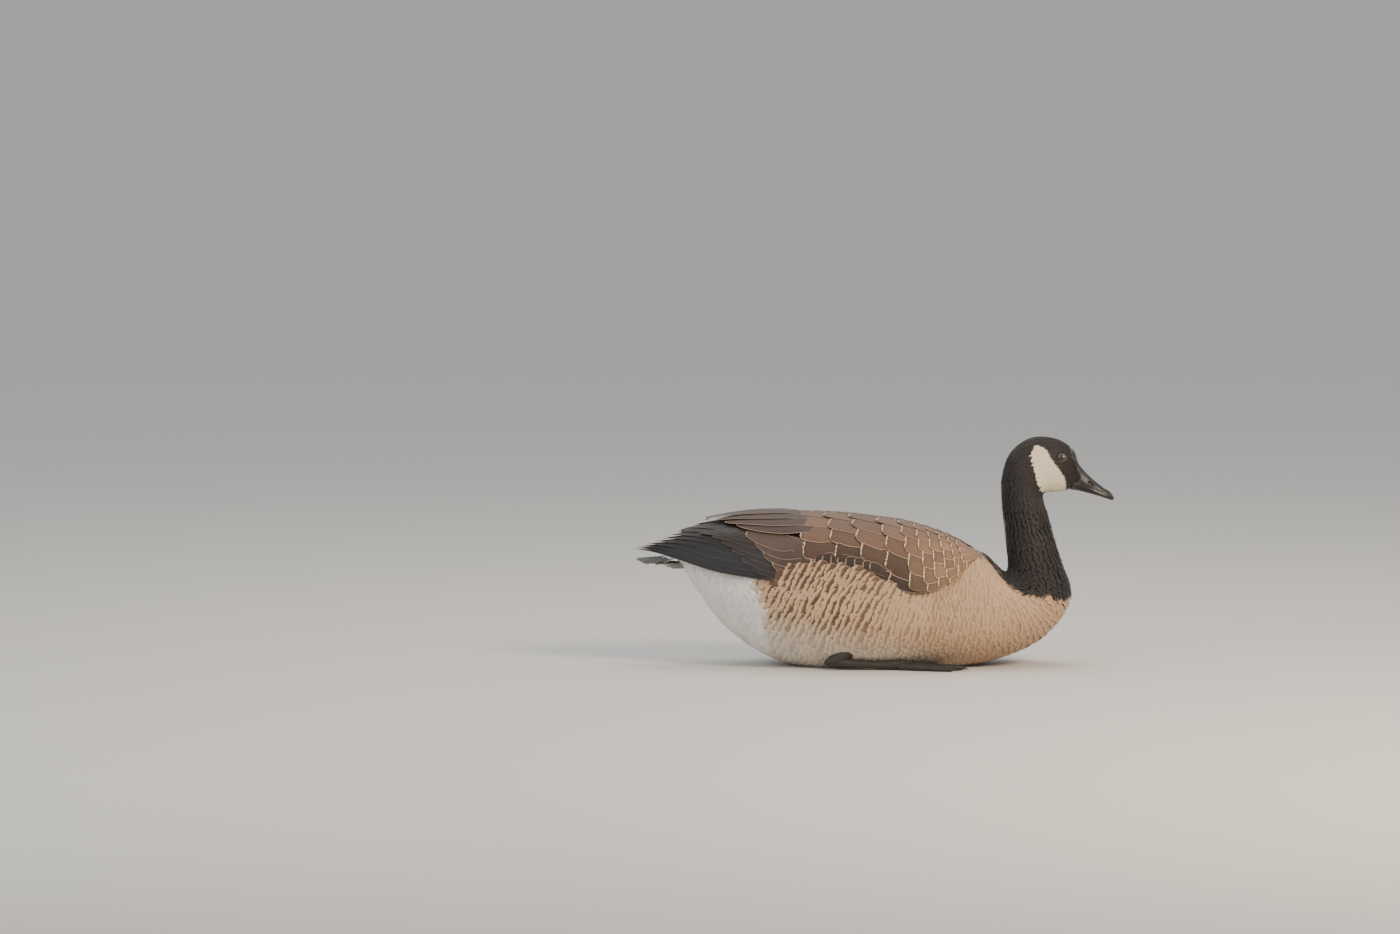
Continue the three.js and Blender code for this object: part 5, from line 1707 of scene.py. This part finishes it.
# %% [markdown]
# ## Legs and webbed feet
# The legs are tucked back along the belly with the webs flat beside it. A foot is three long toes with
# joints and a short hind toe, black scaly skin, a web between the toes that sags a little, and blunt claws.
# The skin lies close on the bones, so a tube along each bone, swollen at its joints, gives its form.
# %% Skin of legs and webs
SCALE_SEAM = 0.22  # width of the seam between scales, as a share of a scale
SCALE_HIGH = 0.25  # mm


def scaly_paint(name, chart_colour, scale_mm):
    """Reticulate skin, half matt: small raised scales, scale_mm apart, with darker seams."""
    material, tree, shader = paint(name, 0.5)
    where = node(tree, "ShaderNodeTexCoord").outputs["Object"]
    cells = node(tree, "ShaderNodeTexVoronoi", {"Vector": where, "Scale": 1 / (scale_mm * MM)},
                 feature="DISTANCE_TO_EDGE")
    raised = node(tree, "ShaderNodeMapRange", {"Value": cells.outputs["Distance"], "From Max": SCALE_SEAM},
                  interpolation_type="SMOOTHSTEP")
    tone = shaded(tree, linear(chart_colour), raised, 0.55, 0.5)
    finish_paint(tree, shader, tone, raised, SCALE_HIGH)
    return material


leg_skin = scaly_paint("black scaly leg skin", "#37332f", 1.5)
web_skin = scaly_paint("thin web skin", "#2e2a27", 0.9)
print("skin of the feet:", leg_skin.name, "and", web_skin.name)

# %% Bones of leg and foot: rows of x, y, z and radius in mm
HEEL = (-32, 66, 10)
TOE_JOINT = (46, 68, 6.5)
SHANK = [(16, 60, 44, 14), (-8, 62, 28, 11), (-24, 65, 15, 8.5), (*HEEL, 6.8), (-38, 66.5, 8.5, 4)]
TARSUS = [(*HEEL, 6.4), (-5, 67, 7, 4.6), (25, 67.5, 6, 4.4), (*TOE_JOINT, 5.6)]
TOES = {
    "inner": [(46, 66, 5, 4.8), (66, 62, 4.2, 4), (88, 57, 3.2, 2.9)],
    "middle": [(*TOE_JOINT, 5.6), (70, 70, 4.6, 4.6), (94, 72, 3.8, 3.8), (114, 73, 3.1, 2.9)],
    "outer": [(46, 70, 5, 4.8), (66, 78, 4.2, 4), (86, 85, 3.6, 3.4), (102, 89, 2.9, 2.7)],
    "hind": [(41, 63, 7.5, 3.6), (34, 60, 5.2, 2.8), (28, 58, 3.4, 2.1)],
}
print("bones of the toes:", sum(len(path) - 1 for path in TOES.values()))

# %% Tubes along the bones
TUBE_ROUND = 28
TUBE_END = ((0.85, 0.5), (0.5, 0.85), (0.15, 0.98))  # radius and reach of the rings that round off an end


def tube(path, rings, joints=0, swell=0.0, flat=1.0):
    """A closed tube along (x, y, z, radius) rows, swollen at its joints. flat is its height for its width."""
    path = np.array(path, float)
    t = np.linspace(0, 1, rings)
    rows = through(path, t)
    fore = np.gradient(rows[:, :3], axis=0)
    fore /= np.linalg.norm(fore, axis=1, keepdims=True)
    side = np.cross((0, 0, 1), fore)
    side /= np.linalg.norm(side, axis=1, keepdims=True)
    up = np.cross(fore, side)
    radius = rows[:, 3] * (1 + swell * np.cos(2 * np.pi * joints * t))
    turn = np.linspace(0, 2 * np.pi, TUBE_ROUND, endpoint=False)
    across = side[:, None] * np.cos(turn)[None, :, None] + up[:, None] * (np.sin(turn) * flat)[None, :, None]
    loops = rows[:, None, :3] + across * radius[:, None, None]
    ends = [[loops[row] + (loops[row] - rows[row, :3]) * (share - 1) + sign * fore[row] * radius[row] * reach
             for share, reach in TUBE_END] for row, sign in ((0, -1), (-1, 1))]
    loops = np.concatenate([ends[0][::-1], loops, ends[1]])
    loops[..., 2] = np.maximum(loops[..., 2], FLOOR_FILM)
    return closed_loft(loops)


# %% Webs and claws
WEB_HALF_THICK, WEB_LOW = 0.45, 1.3  # mm, and the least height of its middle
WEB_REACH, WEB_HOLLOW = 0.94, 0.16  # how far along the toes it runs, and the hollow of its front edge
CLAW_LONG, CLAW_GAP, CLAW_LOW = 8, 0.35, 0.9  # length, gap to the toe and least height in mm
CLAW_ROWS = ((CLAW_GAP, 0, 0.8), (CLAW_LONG * 0.35, 0.1, 0.68), (CLAW_LONG * 0.7, 0.7, 0.42),
             (CLAW_LONG, 1.6, 0.14))  # reach and fall in mm, and radius as a share of the toe's


def web_sheet(first, second):
    """The web between two toes: a thin sagging membrane with a hollow front edge."""
    along, beside = np.linspace(0.03, 1, 40)[:, None], np.linspace(0, 1, 30)[None]
    s = along * (WEB_REACH - WEB_HOLLOW * np.sin(np.pi * beside))
    one, other = through(np.array(first, float), s), through(np.array(second, float), s)
    middle = mix(one, other, beside[..., None])[..., :3]
    creases = 0.9 + 0.25 * np.sin(9 * s + 4 * beside) + 0.2 * np.sin(26 * beside + 6 * s)
    middle[..., 2] = np.maximum(middle[..., 2] - np.sin(np.pi * beside) * creases, WEB_LOW)
    half = (0, 0, WEB_HALF_THICK)
    return closed_loft(np.concatenate([middle + half, (middle - half)[:, ::-1]], 1))


def claw(path):
    """The claw at the end of a toe, bent down to the floor."""
    end, before = np.array(path[-1][:3]), np.array(path[-2][:3])
    ahead = (end - before) / np.linalg.norm(end - before)
    rows = [(*(end + ahead * reach)[:2], max(end[2] - fall, CLAW_LOW), path[-1][3] * share)
            for reach, fall, share in CLAW_ROWS]
    return tube(rows, 24, flat=0.85)


# %% Lines for the scutes
SCUTE_RISE, SCUTE_HALF = 0.86, 0.72  # height over the toe's middle and half width, as shares of its radius


def toe_top(path, start, stop):
    """A line along the top of a toe for its scutes, with their half widths."""
    rows = through(np.array(path, float), np.linspace(start, stop, 40))
    return np.column_stack([rows[:, :2], rows[:, 2] + rows[:, 3] * SCUTE_RISE, rows[:, 3] * SCUTE_HALF])


# %% Both legs
scute_group = plates_group(leg_skin)
for side_name, side in SIDES.items():
    bones = [tube(SHANK, 40), tube(TARSUS, 40)]
    leg = mesh_piece(f"shank_{side_name}", *joined(bones, side), leg_skin, "leg_skin")
    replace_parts(leg, f"leg_{side_name}")
    toes = [tube(path, 44, joints=len(path) - 1, swell=0.07) for path in TOES.values()]
    foot = mesh_piece(f"toes_{side_name}", *joined(toes, side), leg_skin, "leg_skin")
    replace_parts(foot, f"foot_{side_name}")
    webs = [web_sheet(TOES["inner"], TOES["middle"]), web_sheet(TOES["middle"], TOES["outer"])]
    mesh_piece(f"web_{side_name}", *joined(webs, side), web_skin, "leg_skin")
    tops = [toe_top(path, 0.06, 0.95) for path in TOES.values()] + [toe_top(TARSUS, 0.1, 0.95)]
    plates(f"scutes_{side_name}", [line * (1, side, 1, 1) for line in tops], scute_group, "leg_skin",
           Spacing=2.3 * MM, Length=1.25 * MM, Height=0.7 * MM)
    for toe, path in TOES.items():
        nail = mesh_piece(f"nail_{toe}_{side_name}", *joined([claw(path)], side), claw_horn, "claw_horn")
        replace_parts(nail, f"claw_{toe}_{side_name}")
